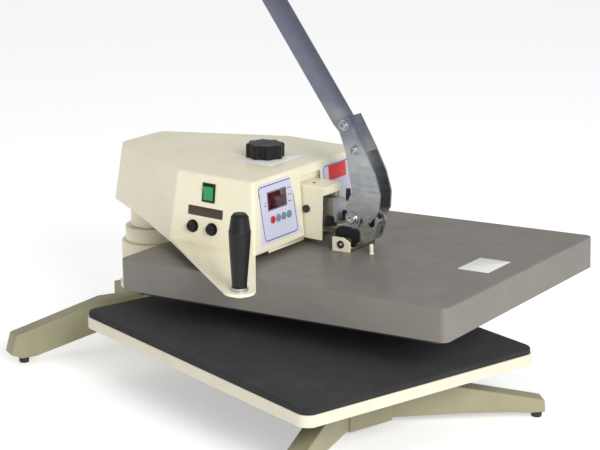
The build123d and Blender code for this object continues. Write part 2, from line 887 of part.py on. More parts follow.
rocker_depth = 6.0
rocker_half = rocker_height / 2
rocker_tip = radians(8)
rocker_pivot = left_face.from_local_coords((-rocker_y, rocker_rise, -rocker_depth))
rocker_side = Plane(
    origin=rocker_pivot,
    x_dir=left_face.y_dir * cos(rocker_tip) + left_face.z_dir * sin(rocker_tip),
    z_dir=left_face.x_dir,
)
with BuildPart() as power_rocker:
    with BuildSketch(rocker_side):
        with BuildLine():
            Polyline(
                (1.5 - rocker_half, rocker_depth + 4.5),
                (0, rocker_depth + 3),
                (rocker_half - 1.5, rocker_depth + 4.5),
                (rocker_half - 0.5, rocker_depth - 1),
                (rocker_half - 5, -3),
                (5 - rocker_half, -3),
                (0.5 - rocker_half, rocker_depth - 1),
                close=True,
            )
        make_face()
    extrude(amount=rocker_width / 2, both=True)
finish(power_rocker, "power_rocker")

fuse_bore = fuse_body_radius - 1.5
with BuildPart() as fuse_holders:
    with BuildSketch(left_face):
        with Locations(*fuse_places):
            Circle(fuse_flange_radius)
            Circle(fuse_bore, mode=Mode.SUBTRACT)
    extrude(amount=bezel_proud)
    with BuildSketch(left_face):
        with Locations(*fuse_places):
            Circle(fuse_body_radius - running_fit)
            Circle(fuse_bore, mode=Mode.SUBTRACT)
    extrude(amount=-fuse_body_length)
finish(fuse_holders, "fuse_holders")

for place, cap_name in zip(fuse_places, ("fuse_cap_rear", "fuse_cap_front")):
    with BuildPart() as fuse_cap:
        with BuildSketch(left_face.offset(bezel_proud + free_gap)):
            with Locations(place):
                Circle(fuse_cap_radius)
        extrude(amount=6)
        with BuildSketch(left_face.offset(bezel_proud + free_gap + 6)):
            with Locations(place):
                SlotOverall(2 * fuse_cap_radius - 4, 2)
        extrude(amount=-1.5, mode=Mode.SUBTRACT)
        with BuildSketch(left_face.offset(bezel_proud + free_gap)):
            with Locations(place):
                Circle(fuse_bore - 2 * running_fit)
        extrude(amount=-fuse_body_length / 2)
    finish(fuse_cap, cap_name)

board_width = 4 * key_spacing + 2 * board_edge
with BuildPart() as controller_board:
    with BuildSketch(front_face.offset(-board_gap)):
        with Locations((key_x, (key_rise + display_rise) / 2)):
            Rectangle(board_width, display_rise)
    extrude(amount=-board_thickness)
    with BuildSketch(front_face.offset(-board_gap)):
        with Locations((key_x, (key_rise + display_rise) / 2)):
            with GridLocations(board_width - 10, display_rise - 10, 2, 2):
                Circle(3)
    extrude(amount=board_gap - housing_wall)
    with BuildSketch(front_face.offset(-board_gap - board_thickness)):
        with Locations((key_x - board_edge, key_rise)):
            Rectangle(board_part_width, board_part_height)
        with Locations((key_x + board_edge, key_rise + board_part_height)):
            Rectangle(board_part_height, board_part_width)
    extrude(amount=-board_part_depth)
finish(controller_board, "controller_board")

with BuildPart() as power_inlet:
    inlet_place = (fuse_y, rocker_rise / 2)
    with BuildSketch(right_face):
        with Locations(inlet_place):
            RectangleRounded(inlet_width, inlet_height, 3)
    extrude(amount=bezel_proud)
    with BuildSketch(right_face):
        with Locations(inlet_place):
            Rectangle(inlet_width - 4.6, inlet_height - 4.6)
    extrude(amount=-inlet_depth)
    with BuildSketch(right_face.offset(bezel_proud)):
        with Locations(inlet_place):
            RectangleRounded(inlet_width / 2, inlet_height - 12, 3)
    extrude(amount=-inlet_depth + 4, mode=Mode.SUBTRACT)
    with BuildSketch(right_face.offset(4 - inlet_depth)):
        with Locations(inlet_place):
            with GridLocations(7, 0, 3, 1):
                Rectangle(2, 4.5)
    extrude(amount=inlet_depth - 6)
finish(power_inlet, "power_inlet")

# ---- pressure beam ------------------------------------------------------------------

beam_hole_radius = screw_radius + screw_gap + 0.6
tongue_bolt_z = tongue_bottom_z + tongue_height / 2
tongue_bolts = (
    (tongue_bolt_y, tongue_bolt_z),
    (tongue_bolt_y + tongue_bolt_spacing, tongue_bolt_z),
)
with BuildPart() as pressure_beam:
    beam_front_y = bracket_front_y + bracket_sheet + 5
    with BuildSketch(head_side(-beam_half)):
        with Locations((beam_front_y, beam_bottom_z)):
            Rectangle(
                beam_rear_y - beam_front_y,
                beam_top_z - beam_bottom_z,
                align=(Align.MIN, Align.MIN),
            )
    extrude(amount=2 * beam_half)
    with BuildSketch(head_side(-beam_half + beam_wall)):
        with Locations((beam_front_y, beam_bottom_z)):
            Rectangle(
                beam_rear_y - beam_front_y,
                beam_top_z - beam_bottom_z - beam_wall,
                align=(Align.MIN, Align.MIN),
            )
    extrude(amount=2 * (beam_half - beam_wall), mode=Mode.SUBTRACT)
    with BuildSketch(head_side(-beam_half)):
        with Locations((beam_pivot_y, beam_pivot_z)):
            Circle(beam_pin_radius + running_fit)
        with Locations(*tongue_bolts):
            Circle(tongue_bolt_radius)
    extrude(amount=2 * beam_half, mode=Mode.SUBTRACT)
    with BuildSketch(head_level(beam_top_z)):
        with Locations((0, screw_y)):
            Circle(beam_hole_radius)
    extrude(amount=-beam_wall, mode=Mode.SUBTRACT)
finish(pressure_beam, "pressure_beam")

with BuildPart() as pressure_nut:
    nut_half = beam_half - beam_wall
    with BuildSketch(head_side(-nut_half)):
        with Locations((screw_y, beam_pivot_z)):
            Circle(screw_radius + 5)
    extrude(amount=2 * nut_half)
    nut_reach = 8.0
    with BuildSketch(head_level(beam_pivot_z - 2 * nut_reach)):
        with Locations((0, screw_y)):
            Circle(screw_radius + 0.3)
    extrude(amount=4 * nut_reach, mode=Mode.SUBTRACT)
    for side in (1, -1):
        with BuildSketch(head_level(beam_pivot_z + side * nut_reach)):
            with Locations((0, screw_y)):
                Rectangle(3 * nut_half, 3 * nut_half)
        extrude(amount=side * 3 * nut_reach, mode=Mode.SUBTRACT)
finish(pressure_nut, "pressure_nut")

bracket_half = bracket_width / 2
with BuildPart() as beam_end_bracket:
    with BuildSketch(head_side(-bracket_half)):
        with Locations((bracket_front_y, bracket_bottom_z)):
            Rectangle(bracket_length, bracket_top_z - bracket_bottom_z, align=(Align.MIN, Align.MIN))
    extrude(amount=2 * bracket_half)
    outer_edges = beam_end_bracket.edges().filter_by(Axis(head.origin, head.y_dir)).group_by(Axis.Z)[-1]
    fillet(outer_edges, bracket_sheet)
    with BuildSketch(head_side(-bracket_half + bracket_sheet)):
        with Locations((bracket_front_y + bracket_sheet, bracket_bottom_z)):
            Rectangle(
                bracket_length,
                bracket_top_z - bracket_bottom_z - bracket_sheet,
                align=(Align.MIN, Align.MIN),
            )
    extrude(amount=2 * (bracket_half - bracket_sheet), mode=Mode.SUBTRACT)
    with BuildSketch(head_front(bracket_front_y)):
        with Locations((0, bracket_bottom_z)):
            Rectangle(
                bracket_width + 2,
                bracket_top_z - bracket_bottom_z - bracket_lip,
                align=(Align.CENTER, Align.MIN),
            )
    extrude(amount=-bracket_sheet, mode=Mode.SUBTRACT)
    with BuildSketch(head_side(-bracket_half)):
        with Locations(*tongue_bolts):
            Circle(tongue_bolt_radius)
    extrude(amount=2 * bracket_half, mode=Mode.SUBTRACT)
finish(beam_end_bracket, "beam_end_bracket")

tongue_half = tongue_thickness / 2
tongue_top_z = tongue_bottom_z + tongue_height
with BuildPart() as tongue:
    with BuildSketch(head_side(-tongue_half)):
        with BuildLine():
            Polyline(
                (pivot_y, pivot_z - tongue_nose),
                (tongue_rear_y, tongue_bottom_z),
                (tongue_rear_y, tongue_top_z),
                (pivot_y + tongue_nose, tongue_top_z),
                (pivot_y, pivot_z + tongue_nose),
            )
            ThreePointArc(
                (pivot_y, pivot_z + tongue_nose),
                (pivot_y - tongue_nose, pivot_z),
                (pivot_y, pivot_z - tongue_nose),
            )
        make_face()
        with Locations(*tongue_bolts):
            Circle(tongue_bolt_radius, mode=Mode.SUBTRACT)
        with Locations((pivot_y, pivot_z)):
            Circle(pivot_radius, mode=Mode.SUBTRACT)
    extrude(amount=tongue_thickness)
    with BuildSketch(head_side(-tongue_half)):
        with Locations((guide_y, pivot_z + 1)):
            SlotOverall(sight_slot_height, sight_slot_width, rotation=90)
    extrude(amount=tongue_thickness, mode=Mode.SUBTRACT)
    with BuildSketch(head_level(tongue_bottom_z)):
        with Locations((0, guide_y)):
            Circle(guide_radius + running_fit)
    extrude(amount=tongue_height, mode=Mode.SUBTRACT)
finish(tongue, "tongue")

with BuildPart() as tongue_bolts_set:
    for side in (1, -1):
        with BuildSketch(head_side(0)):
            with Locations(*tongue_bolts):
                Circle(tongue_bolt_radius)
        extrude(amount=side * bracket_half)
        with BuildSketch(head_side(side * tongue_half)):
            with Locations(*tongue_bolts):
                Circle(tongue_bolt_radius + 4)
        extrude(amount=side * (beam_half - beam_wall - tongue_half))
        with BuildSketch(head_side(side * bracket_half)):
            with Locations(*tongue_bolts):
                Circle(tongue_bolt_head_radius)
        extrude(amount=side * 3.5)
finish(tongue_bolts_set, "tongue_bolts")

yoke_outer_half = yoke_inner_half + yoke_plate
with BuildPart() as main_pivot:
    for side in (1, -1):
        with BuildSketch(head_side(0)):
            with Locations((pivot_y, pivot_z)):
                Circle(pivot_radius)
        extrude(amount=side * (yoke_outer_half + free_gap))
        with BuildSketch(head_side(side * tongue_half)):
            with Locations((pivot_y, pivot_z)):
                Circle(pivot_spacer_radius)
        extrude(amount=side * (yoke_inner_half - tongue_half - free_gap))
        with BuildSketch(head_side(side * (yoke_outer_half + free_gap))):
            with Locations((pivot_y, pivot_z)):
                Circle(pivot_radius + 4)
        extrude(amount=side * 3)
        with BuildSketch(head_side(side * (yoke_outer_half + free_gap + 3))):
            with Locations((pivot_y, pivot_z)):
                RegularPolygon(pivot_radius + 3, 6)
        extrude(amount=side * 5)
finish(main_pivot, "main_pivot")

switch_inner = 24.0
switch_outer = 38.0
with BuildPart() as closing_switch:
    with BuildSketch(head_side(-switch_outer)):
        with BuildLine():
            Polyline(
                (-21, 142),
                (-21, 160),
                (-17, 164),
                (36, 164),
                (36, 176),
                (50, 176),
                (50, 158),
                (30, 148),
                (30, 142),
                close=True,
            )
        make_face()
    extrude(amount=switch_outer - switch_inner)
    with BuildSketch(head_side(-switch_inner)):
        with Locations((43, 169)):
            Circle(6)
    extrude(amount=switch_inner - tongue_half)
finish(closing_switch, "closing_switch")

# ---- pressure screw and its knob ----------------------------------------------------

knob_z = housing_top_z + 1
with BuildPart() as pressure_screw:
    with BuildSketch(head_level(chassis_top_z + 3 + running_fit)):
        with Locations((0, screw_y)):
            Circle(screw_radius)
    extrude(amount=knob_z + knob_height - 8 - chassis_top_z - 3 - running_fit)
    with BuildSketch(head_level(chassis_top_z + screw_foot_height + free_gap)):
        with Locations((0, screw_y)):
            Circle(screw_radius + 4)
    extrude(amount=5)
finish(pressure_screw, "pressure_screw")

with BuildPart() as pressure_knob:
    with BuildSketch(head_level(knob_z)):
        with Locations((0, screw_y)):
            Circle(knob_radius - 4)
            with PolarLocations(knob_radius - knob_lobe_radius, knob_lobes):
                Circle(knob_lobe_radius)
    extrude(amount=knob_height)
    knob_rim = pressure_knob.faces().sort_by(Axis.Z)[-1].edges()
    chamfer(knob_rim, 2.5)
    with BuildSketch(head_level(knob_z)):
        with Locations((0, screw_y)):
            Circle(screw_radius)
    extrude(amount=knob_height - 8, mode=Mode.SUBTRACT)
finish(pressure_knob, "pressure_knob")

# ---- lever --------------------------------------------------------------------------



def yoke_point(share_y, share_z):
    """Point of the lever's side view, as shares of the yoke's rise above the main pivot."""
    return (pivot_y + share_y * yoke_rise, pivot_z + share_z * yoke_rise)


yoke_front = [
    yoke_point(0.076, 1),
    yoke_point(-0.114, 0.696),
    yoke_point(-0.234, 0.478),
    yoke_point(-0.299, 0.283),
    yoke_point(-0.293, 0.125),
    yoke_point(-0.245, 0.038),
]
yoke_rear = [
    yoke_point(0.092, 0.087),
    yoke_point(0.016, 0.272),
    yoke_point(0.103, 0.668),
    yoke_point(0.217, 0.94),
]
bar_foot = [
    yoke_point(0.027, 0.88),
    yoke_point(-0.071, 0.717),
    yoke_point(-0.071, 0.63),
    yoke_point(0.022, 0.603),
    yoke_point(0.109, 0.696),
]
yoke_web_end = pivot_z + 0.674 * yoke_rise
yoke_clear = yoke_rise / 5
crank_place = (crank_pin_y, crank_pin_z)
lever_screws_places = (yoke_point(0.002, 0.685), yoke_point(0.123, 0.908))
with BuildPart() as lever_yoke:
    with BuildSketch(head_side(-yoke_outer_half)):
        with BuildLine():
            Polyline(*yoke_front, (pivot_y, pivot_z), *yoke_rear, close=True)
        make_face()
        with Locations((pivot_y, pivot_z)):
            Circle(yoke_ear_radius)
        with Locations(crank_place):
            Circle(crank_pin_radius + 6)
    extrude(amount=2 * yoke_outer_half)
    with BuildSketch(head_side(-yoke_inner_half)):
        with BuildLine():
            inner_line = [(y + yoke_web, z) for y, z in yoke_front if z > yoke_web_end]
            Polyline(
                (yoke_front[0][0] + yoke_web, pivot_z + yoke_rise + yoke_clear),
                *inner_line,
                (inner_line[-1][0], yoke_web_end),
                (pivot_y - yoke_rise / 2, yoke_web_end),
                (pivot_y - yoke_rise / 2, pivot_z - yoke_clear),
                (pivot_y + yoke_rise / 2, pivot_z - yoke_clear),
                (pivot_y + yoke_rise / 2, pivot_z + yoke_rise + yoke_clear),
                close=True,
            )
        make_face()
    extrude(amount=2 * yoke_inner_half, mode=Mode.SUBTRACT)
    with BuildSketch(head_side(-yoke_outer_half)):
        with Locations((pivot_y, pivot_z)):
            Circle(pivot_radius + running_fit)
        with Locations(crank_place):
            Circle(crank_pin_radius)
        with Locations(*lever_screws_places):
            Circle(lever_screw_radius)
    extrude(amount=2 * yoke_outer_half, mode=Mode.SUBTRACT)
finish(lever_yoke, "lever_yoke")

bar_line = head_side(0, bar_y, bar_z, 90 - lever_lean)
lean = radians(lever_lean)
with BuildPart() as lever_bar:
    half = bar_depth / 2
    top = (bar_y + (bar_reach) * sin(lean), bar_z + bar_reach * cos(lean))
    across = (half * cos(lean), half * sin(lean))
    with BuildSketch(head_side(-bar_thickness / 2)):
        with BuildLine():
            Polyline(
                (bar_y + across[0], bar_z - across[1]),
                (top[0] + across[0], top[1] - across[1]),
                (top[0] - across[0], top[1] + across[1]),
                (bar_y - across[0], bar_z + across[1]),
                *bar_foot,
                close=True,
            )
        make_face()
        with Locations(*lever_screws_places):
            Circle(lever_screw_radius, mode=Mode.SUBTRACT)
    extrude(amount=bar_thickness)
    chamfer(lever_bar.edges().filter_by(lambda e: e.length > bar_reach * 0.9), bar_edge)
finish(lever_bar, "lever_bar")

with BuildPart() as lever_screws:
    for side in (1, -1):
        with BuildSketch(head_side(0)):
            with Locations(*lever_screws_places):
                Circle(lever_screw_radius)
        extrude(amount=side * yoke_outer_half)
        with BuildSketch(head_side(side * bar_thickness / 2)):
            with Locations(*lever_screws_places):
                Circle(lever_screw_head_radius)
        extrude(amount=side * (yoke_inner_half - bar_thickness / 2))
        with BuildSketch(head_side(side * yoke_outer_half)):
            with Locations(*lever_screws_places):
                Circle(lever_screw_head_radius)
        extrude(amount=side * 1.6)
        with BuildSketch(head_side(side * (yoke_outer_half + 1.6))):
            with Locations(*lever_screws_places):
                RegularPolygon(lever_screw_head_radius - 1, 6)
        extrude(amount=side * 5)
finish(lever_screws, "lever_screws")

bar_end = Plane(
    origin=head.from_local_coords((0, top[0], top[1])),
    x_dir=head.x_dir,
    z_dir=head.y_dir * sin(lean) + head.z_dir * cos(lean),
)
with BuildPart() as lever_grip:
    with BuildSketch(bar_end.offset(lever_grip_wall)):
        RectangleRounded(bar_thickness + 2 * lever_grip_wall, bar_depth + 2 * lever_grip_wall, 8)
    extrude(amount=-lever_grip_length)
    grip_ends = lever_grip.faces().sort_by(Axis(bar_end.origin, bar_end.z_dir))
    fillet(grip_ends[-1].edges(), lever_grip_wall * 0.8)
    chamfer(grip_ends[0].edges(), 1)
    with BuildSketch(bar_end):
        Rectangle(bar_thickness, bar_depth)
    extrude(amount=-lever_grip_length, mode=Mode.SUBTRACT)
finish(lever_grip, "lever_grip")

with BuildPart() as crank_pin:
    with BuildSketch(head_side(-yoke_outer_half - 2)):
        with Locations(crank_place):
            Circle(crank_pin_radius)
    extrude(amount=2 * yoke_outer_half + 4)
finish(crank_pin, "crank_pin")

# ---- toggle link and push block -----------------------------------------------------


def turned(y, z, angle):
    """The side-view point (y, z) turned about the head's +X by angle."""
    return y * cos(angle) - z * sin(angle), y * sin(angle) + z * cos(angle)


def seen_from_link(y, z, share):
    """The head's side-view point (y, z) in the link's rest position at this share of the travel."""
    link_turn = radians(link_lean_pressed - link_lean) * share
    back = turned(y - axle_y, z - axle_z + share * press_stroke, -link_turn)
    return axle_y + back[0], axle_z + back[1]


def crank_pin_in_link(share):
    """Where the crank pin stands in the link's rest position at this share of the lever's travel."""
    pin = turned(crank_pin_y - pivot_y, crank_pin_z - pivot_z, share * crank_turn)
    return seen_from_link(pivot_y + pin[0], pivot_z + pin[1], share)


pin_path = [crank_pin_in_link(step / 8) for step in range(9)]
pivot_path = [seen_from_link(pivot_y, pivot_z, step / 16) for step in range(17)]
link_outer_half = link_inner_half + link_plate
with BuildPart() as toggle_link:
    with BuildSketch(head_side(-link_outer_half)):
        with Locations(*pin_path):
            Circle(crank_pin_radius + slot_gap + link_top_wall)
        with Locations((link_knee_y, link_knee_z)):
            Circle(link_knee_radius)
        with Locations((axle_y, axle_z)):
            Circle(link_eye_radius)
        make_hull()
    extrude(amount=2 * link_outer_half)
    with BuildSketch(head_side(-link_inner_half)):
        with Locations(*[(y + 1.6 * link_plate, z) for y, z in pin_path]):
            Circle(crank_pin_radius + slot_gap + link_top_wall + 1)
        with Locations((link_knee_y + link_plate + 1, link_knee_z)):
            Circle(link_knee_radius + 1)
        with Locations(
            (axle_y + 60, link_knee_z),
            (axle_y + 60, axle_z - 60),
            (link_knee_y + 12, axle_z - 60),
        ):
            Circle(link_eye_radius)
        make_hull()
        with Locations((link_knee_y, link_web_top)):
            Rectangle(200, 100, align=(Align.CENTER, Align.MIN))
    extrude(amount=2 * link_inner_half, mode=Mode.SUBTRACT)
    with BuildSketch(head_side(-link_outer_half)):
        with Locations(*pin_path):
            Circle(crank_pin_radius + slot_gap)
        make_hull()
    extrude(amount=2 * link_outer_half, mode=Mode.SUBTRACT)
    with BuildSketch(head_front(link_knee_y - 2 * link_knee_radius)):
        with Locations((link_window_x, link_knee_z + link_window_height / 2)):
            Rectangle(link_window_width, link_window_height)
    extrude(amount=-2 * link_knee_radius, mode=Mode.SUBTRACT)
    pivot_room = pivot_spacer_radius + slot_gap
    with BuildSketch(head_side(-link_outer_half)):
        with BuildLine():
            room_line = Polyline(*pivot_path)
        trace(room_line, 2 * pivot_room)
        with Locations(*pivot_path):
            Circle(pivot_room)
        with Locations((axle_y, axle_z)):
            Circle(axle_radius + running_fit)
    extrude(amount=2 * link_outer_half, mode=Mode.SUBTRACT)
finish(toggle_link, "toggle_link")

saddle_half = saddle_length / 2
with BuildPart() as platen_axle:
    for side in (1, -1):
        with BuildSketch(head_side(0)):
            with Locations((axle_y, axle_z)):
                Circle(axle_radius)
        extrude(amount=side * (saddle_half + free_gap))
        with BuildSketch(head_side(side * (link_outer_half + free_gap))):
            with Locations((axle_y, axle_z)):
                Circle(axle_radius + 1.2)
        extrude(amount=side * (saddle_half - saddle_sheet - link_outer_half - 2 * free_gap))
    for side in (1, -1):
        with BuildSketch(head_side(side * (saddle_half + free_gap))):
            with Locations((axle_y, axle_z)):
                Circle(axle_radius + 2)
        extrude(amount=side * 5)
        with BuildSketch(head_side(side * (saddle_half + free_gap + 5))):
            with Locations((axle_y, axle_z)):
                RegularPolygon(4, 6)
        extrude(amount=-side * 3, mode=Mode.SUBTRACT)
finish(platen_axle, "platen_axle")

with BuildPart() as push_block:
    block_half = link_inner_half - free_gap
    with BuildSketch(head_side(-block_half)):
        with Locations((axle_y, axle_z)):
            Circle(block_eye_radius)
        with Locations((axle_y, block_bottom_z)):
            Rectangle(block_rear_y - axle_y, block_top_z - block_bottom_z, align=(Align.MIN, Align.MIN))
        with Locations((axle_y, axle_z)):
            Circle(axle_radius, mode=Mode.SUBTRACT)
    extrude(amount=2 * block_half)
    with BuildSketch(head_level(block_bottom_z)):
        with Locations((0, guide_y)):
            Circle(guide_radius)
    extrude(amount=guide_top_z - block_bottom_z)
finish(push_block, "push_block")

# ---- heated platen ------------------------------------------------------------------

cover_width = platen_width + 2 * cover_margin
cover_depth = platen_depth + 2 * cover_margin
heat_plate_top = heat_plate_bottom + heat_plate_thickness
with BuildPart() as platen_cover:
    with BuildSketch(platen.offset(cover_bottom)):
        with Locations((0, -axle_y)):
            RectangleRounded(cover_width, cover_depth, cover_corner)
    extrude(amount=cover_height)
    lid_edges = platen_cover.faces().sort_by(Axis(platen.origin, platen.z_dir))[-1].edges()
    fillet(lid_edges, cover_edge_round)
    with BuildSketch(platen.offset(cover_bottom)):
        with Locations((0, -axle_y)):
            RectangleRounded(
                cover_width - 2 * cover_sheet,
                cover_depth - 2 * cover_sheet,
                cover_corner - cover_sheet,
            )
    extrude(amount=cover_height - cover_sheet, mode=Mode.SUBTRACT)
    with BuildSketch(platen.offset(cover_top)):
        with Locations((cover_slot_x, 0), (-cover_slot_x, 0)):
            Rectangle(cover_slot_width, cover_slot_length)
    extrude(amount=-cover_sheet, mode=Mode.SUBTRACT)
finish(platen_cover, "platen_cover")

with BuildPart() as pivot_saddle:
    with BuildSketch(platen.offset(cover_top)):
        Rectangle(saddle_length, saddle_depth)
        Rectangle(
            2 * (link_outer_half + saddle_opening_margin),
            saddle_depth - 2 * saddle_strip,
            mode=Mode.SUBTRACT,
        )
    extrude(amount=saddle_sheet)
    for side in (1, -1):
        ear_place = platen.from_local_coords((side * saddle_half, 0, 0))
        ear = Plane(origin=ear_place, x_dir=platen.y_dir, z_dir=platen.x_dir)
        with BuildSketch(ear):
            with BuildLine():
                Polyline(
                    (-saddle_depth / 2, cover_top),
                    (saddle_depth / 2, cover_top),
                    (saddle_depth / 2, cover_top + saddle_ear_height),
                    (-4, cover_top + saddle_ear_height),
                    (-saddle_depth / 2, cover_top + saddle_ear_height - 8),
                    close=True,
                )
            make_face()
            Circle(axle_radius + running_fit, mode=Mode.SUBTRACT)
        extrude(amount=-side * saddle_sheet)
finish(pivot_saddle, "pivot_saddle")

hanger_grid = (hanger_spacing_x, hanger_spacing_y)
insulation_bottom = cover_top - cover_sheet - insulation_thickness
with BuildPart() as insulation_blanket:
    with BuildSketch(platen.offset(insulation_bottom)):
        with Locations((0, -axle_y)):
            RectangleRounded(
                cover_width - 2 * cover_sheet - 1,
                cover_depth - 2 * cover_sheet - 1,
                cover_corner - cover_sheet,
            )
            with GridLocations(*hanger_grid, 2, 2):
                Circle(hanger_radius + free_gap, mode=Mode.SUBTRACT)
    extrude(amount=insulation_thickness)
finish(insulation_blanket, "insulation_blanket")

with BuildPart() as heat_platen:
    with BuildSketch(platen.offset(heat_plate_bottom)):
        with Locations((0, -axle_y)):
            RectangleRounded(platen_width, platen_depth, platen_corner)
    extrude(amount=heat_plate_thickness)
    pressing_edges = heat_platen.faces().sort_by(Axis(platen.origin, platen.z_dir))[0].edges()
    chamfer(pressing_edges, 1)
    with BuildSketch(platen.offset(heat_plate_top)):
        with Locations((0, -axle_y)):
            with GridLocations(*hanger_grid, 2, 2):
                Circle(hanger_radius)
    extrude(amount=cover_top - cover_sheet - heat_plate_top)
finish(heat_platen, "heat_platen")

with BuildPart() as heating_element:
    element_level = platen.offset(heat_plate_top + element_radius)
    with BuildLine(element_level) as element_path:
        first_x = -(element_runs - 1) / 2 * element_pitch
        half_run = element_length / 2 - element_pitch / 2
        for run in range(element_runs):
            x = first_x + run * element_pitch
            Line((x, -axle_y - half_run), (x, -axle_y + half_run))
        for run in range(element_runs - 1):
            x = first_x + run * element_pitch
            end = 1 if run % 2 == 0 else -1
            bend_y = -axle_y + end * half_run
            ThreePointArc(
                (x, bend_y),
                (x + element_pitch / 2, bend_y + end * element_pitch / 2),
                (x + element_pitch, bend_y),
            )
    start = Plane(
        origin=element_level.from_local_coords((first_x, -axle_y - half_run, 0)),
        z_dir=platen.y_dir,
    )
    with BuildSketch(start):
        Circle(element_radius)
    sweep(path=element_path.wire())
finish(heating_element, "heating_element")

with BuildPart() as thermostat_probe:
    with BuildSketch(platen.offset(heat_plate_top)):
        with Locations((0, -axle_y)):
            Circle(2 * probe_radius)
    extrude(amount=probe_height - 2)
    with BuildSketch(platen.offset(heat_plate_top + probe_height - 2)):
        with Locations((0, -axle_y)):
            Circle(probe_radius)
    extrude(amount=2)
finish(thermostat_probe, "thermostat_probe")

print(f"press stroke {press_stroke:.3f} mm over {lever_travel} degrees of the lever")
print(f"crank {crank_radius:.3f}, link {link_length:.3f}, pin ({crank_pin_y:.3f}, {crank_pin_z:.3f})")
print(f"link turns {link_lean_pressed - link_lean:.3f} degrees")
print("pin path", [(round(y, 2), round(z, 2)) for y, z in pin_path])
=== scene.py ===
import math

import bmesh
import bpy
from mathutils import Matrix, Vector


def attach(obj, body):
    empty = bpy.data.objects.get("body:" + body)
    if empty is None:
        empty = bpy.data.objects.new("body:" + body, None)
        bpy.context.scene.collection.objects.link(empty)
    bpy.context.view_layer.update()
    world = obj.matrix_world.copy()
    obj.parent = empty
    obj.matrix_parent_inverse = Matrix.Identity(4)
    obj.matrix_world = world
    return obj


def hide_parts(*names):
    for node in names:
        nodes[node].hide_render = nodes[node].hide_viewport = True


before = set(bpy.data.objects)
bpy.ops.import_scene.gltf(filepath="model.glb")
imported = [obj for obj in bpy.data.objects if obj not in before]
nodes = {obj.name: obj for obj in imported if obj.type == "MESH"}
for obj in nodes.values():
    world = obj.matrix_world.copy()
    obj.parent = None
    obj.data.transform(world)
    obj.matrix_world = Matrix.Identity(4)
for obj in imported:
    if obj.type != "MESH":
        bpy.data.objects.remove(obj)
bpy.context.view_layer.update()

print("stage: frame loaded,", len(nodes), "nodes")

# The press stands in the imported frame, in metres, with its pad's top at z = 0. Shapes are given
# in millimetres, and those of the head as if it were swung straight in over the tray.
press = {
    "postY": 476.7,  # the swing post, behind the tray
    "swing": 17.15,  # degrees the head is swung out
    "pivot": (0, 0, 176),  # the lever's main pivot
    "axle": (0, 10, 132),  # carries the platen
    "platenTilt": -2.78,  # degrees about the axle
}
standPlace = Matrix.Scale(0.001, 4)
headPlace = (
    standPlace
    @ Matrix.Translation((0, press["postY"], 0))
    @ Matrix.Rotation(math.radians(press["swing"]), 4, "Z")
    @ Matrix.Translation((0, -press["postY"], 0))
)
platenPlace = (
    headPlace
    @ Matrix.Translation(press["axle"])
    @ Matrix.Rotation(math.radians(press["platenTilt"]), 4, "X")
)
asMade = Matrix.Identity(4)
hair = 0.001  # millimetres within which two heights are the same


class Value:
    # a node socket that adds, multiplies and compares like a number

    def __init__(self, tree, socket):
        self.tree = tree
        self.socket = socket

    def joined(self, operation, *items):
        node = self.tree.nodes.new("ShaderNodeMath")
        node.operation = operation
        for slot, item in zip(node.inputs, items):
            if isinstance(item, Value):
                self.tree.links.new(item.socket, slot)
            else:
                slot.default_value = item
        return Value(self.tree, node.outputs[0])

    def __add__(self, other):
        return self.joined("ADD", self, other)

    def __radd__(self, other):
        return self.joined("ADD", other, self)

    def __sub__(self, other):
        return self.joined("SUBTRACT", self, other)

    def __rsub__(self, other):
        return self.joined("SUBTRACT", other, self)

    def __mul__(self, other):
        return self.joined("MULTIPLY", self, other)

    def __rmul__(self, other):
        return self.joined("MULTIPLY", other, self)

    def __lt__(self, other):
        return self.joined("LESS_THAN", self, other)

    def __gt__(self, other):
        return self.joined("GREATER_THAN", self, other)

    def size(self):
        return self.joined("ABSOLUTE", self)

    def root(self):
        return self.joined("SQRT", self)

    def atLeast(self, other):
        return self.joined("MAXIMUM", self, other)


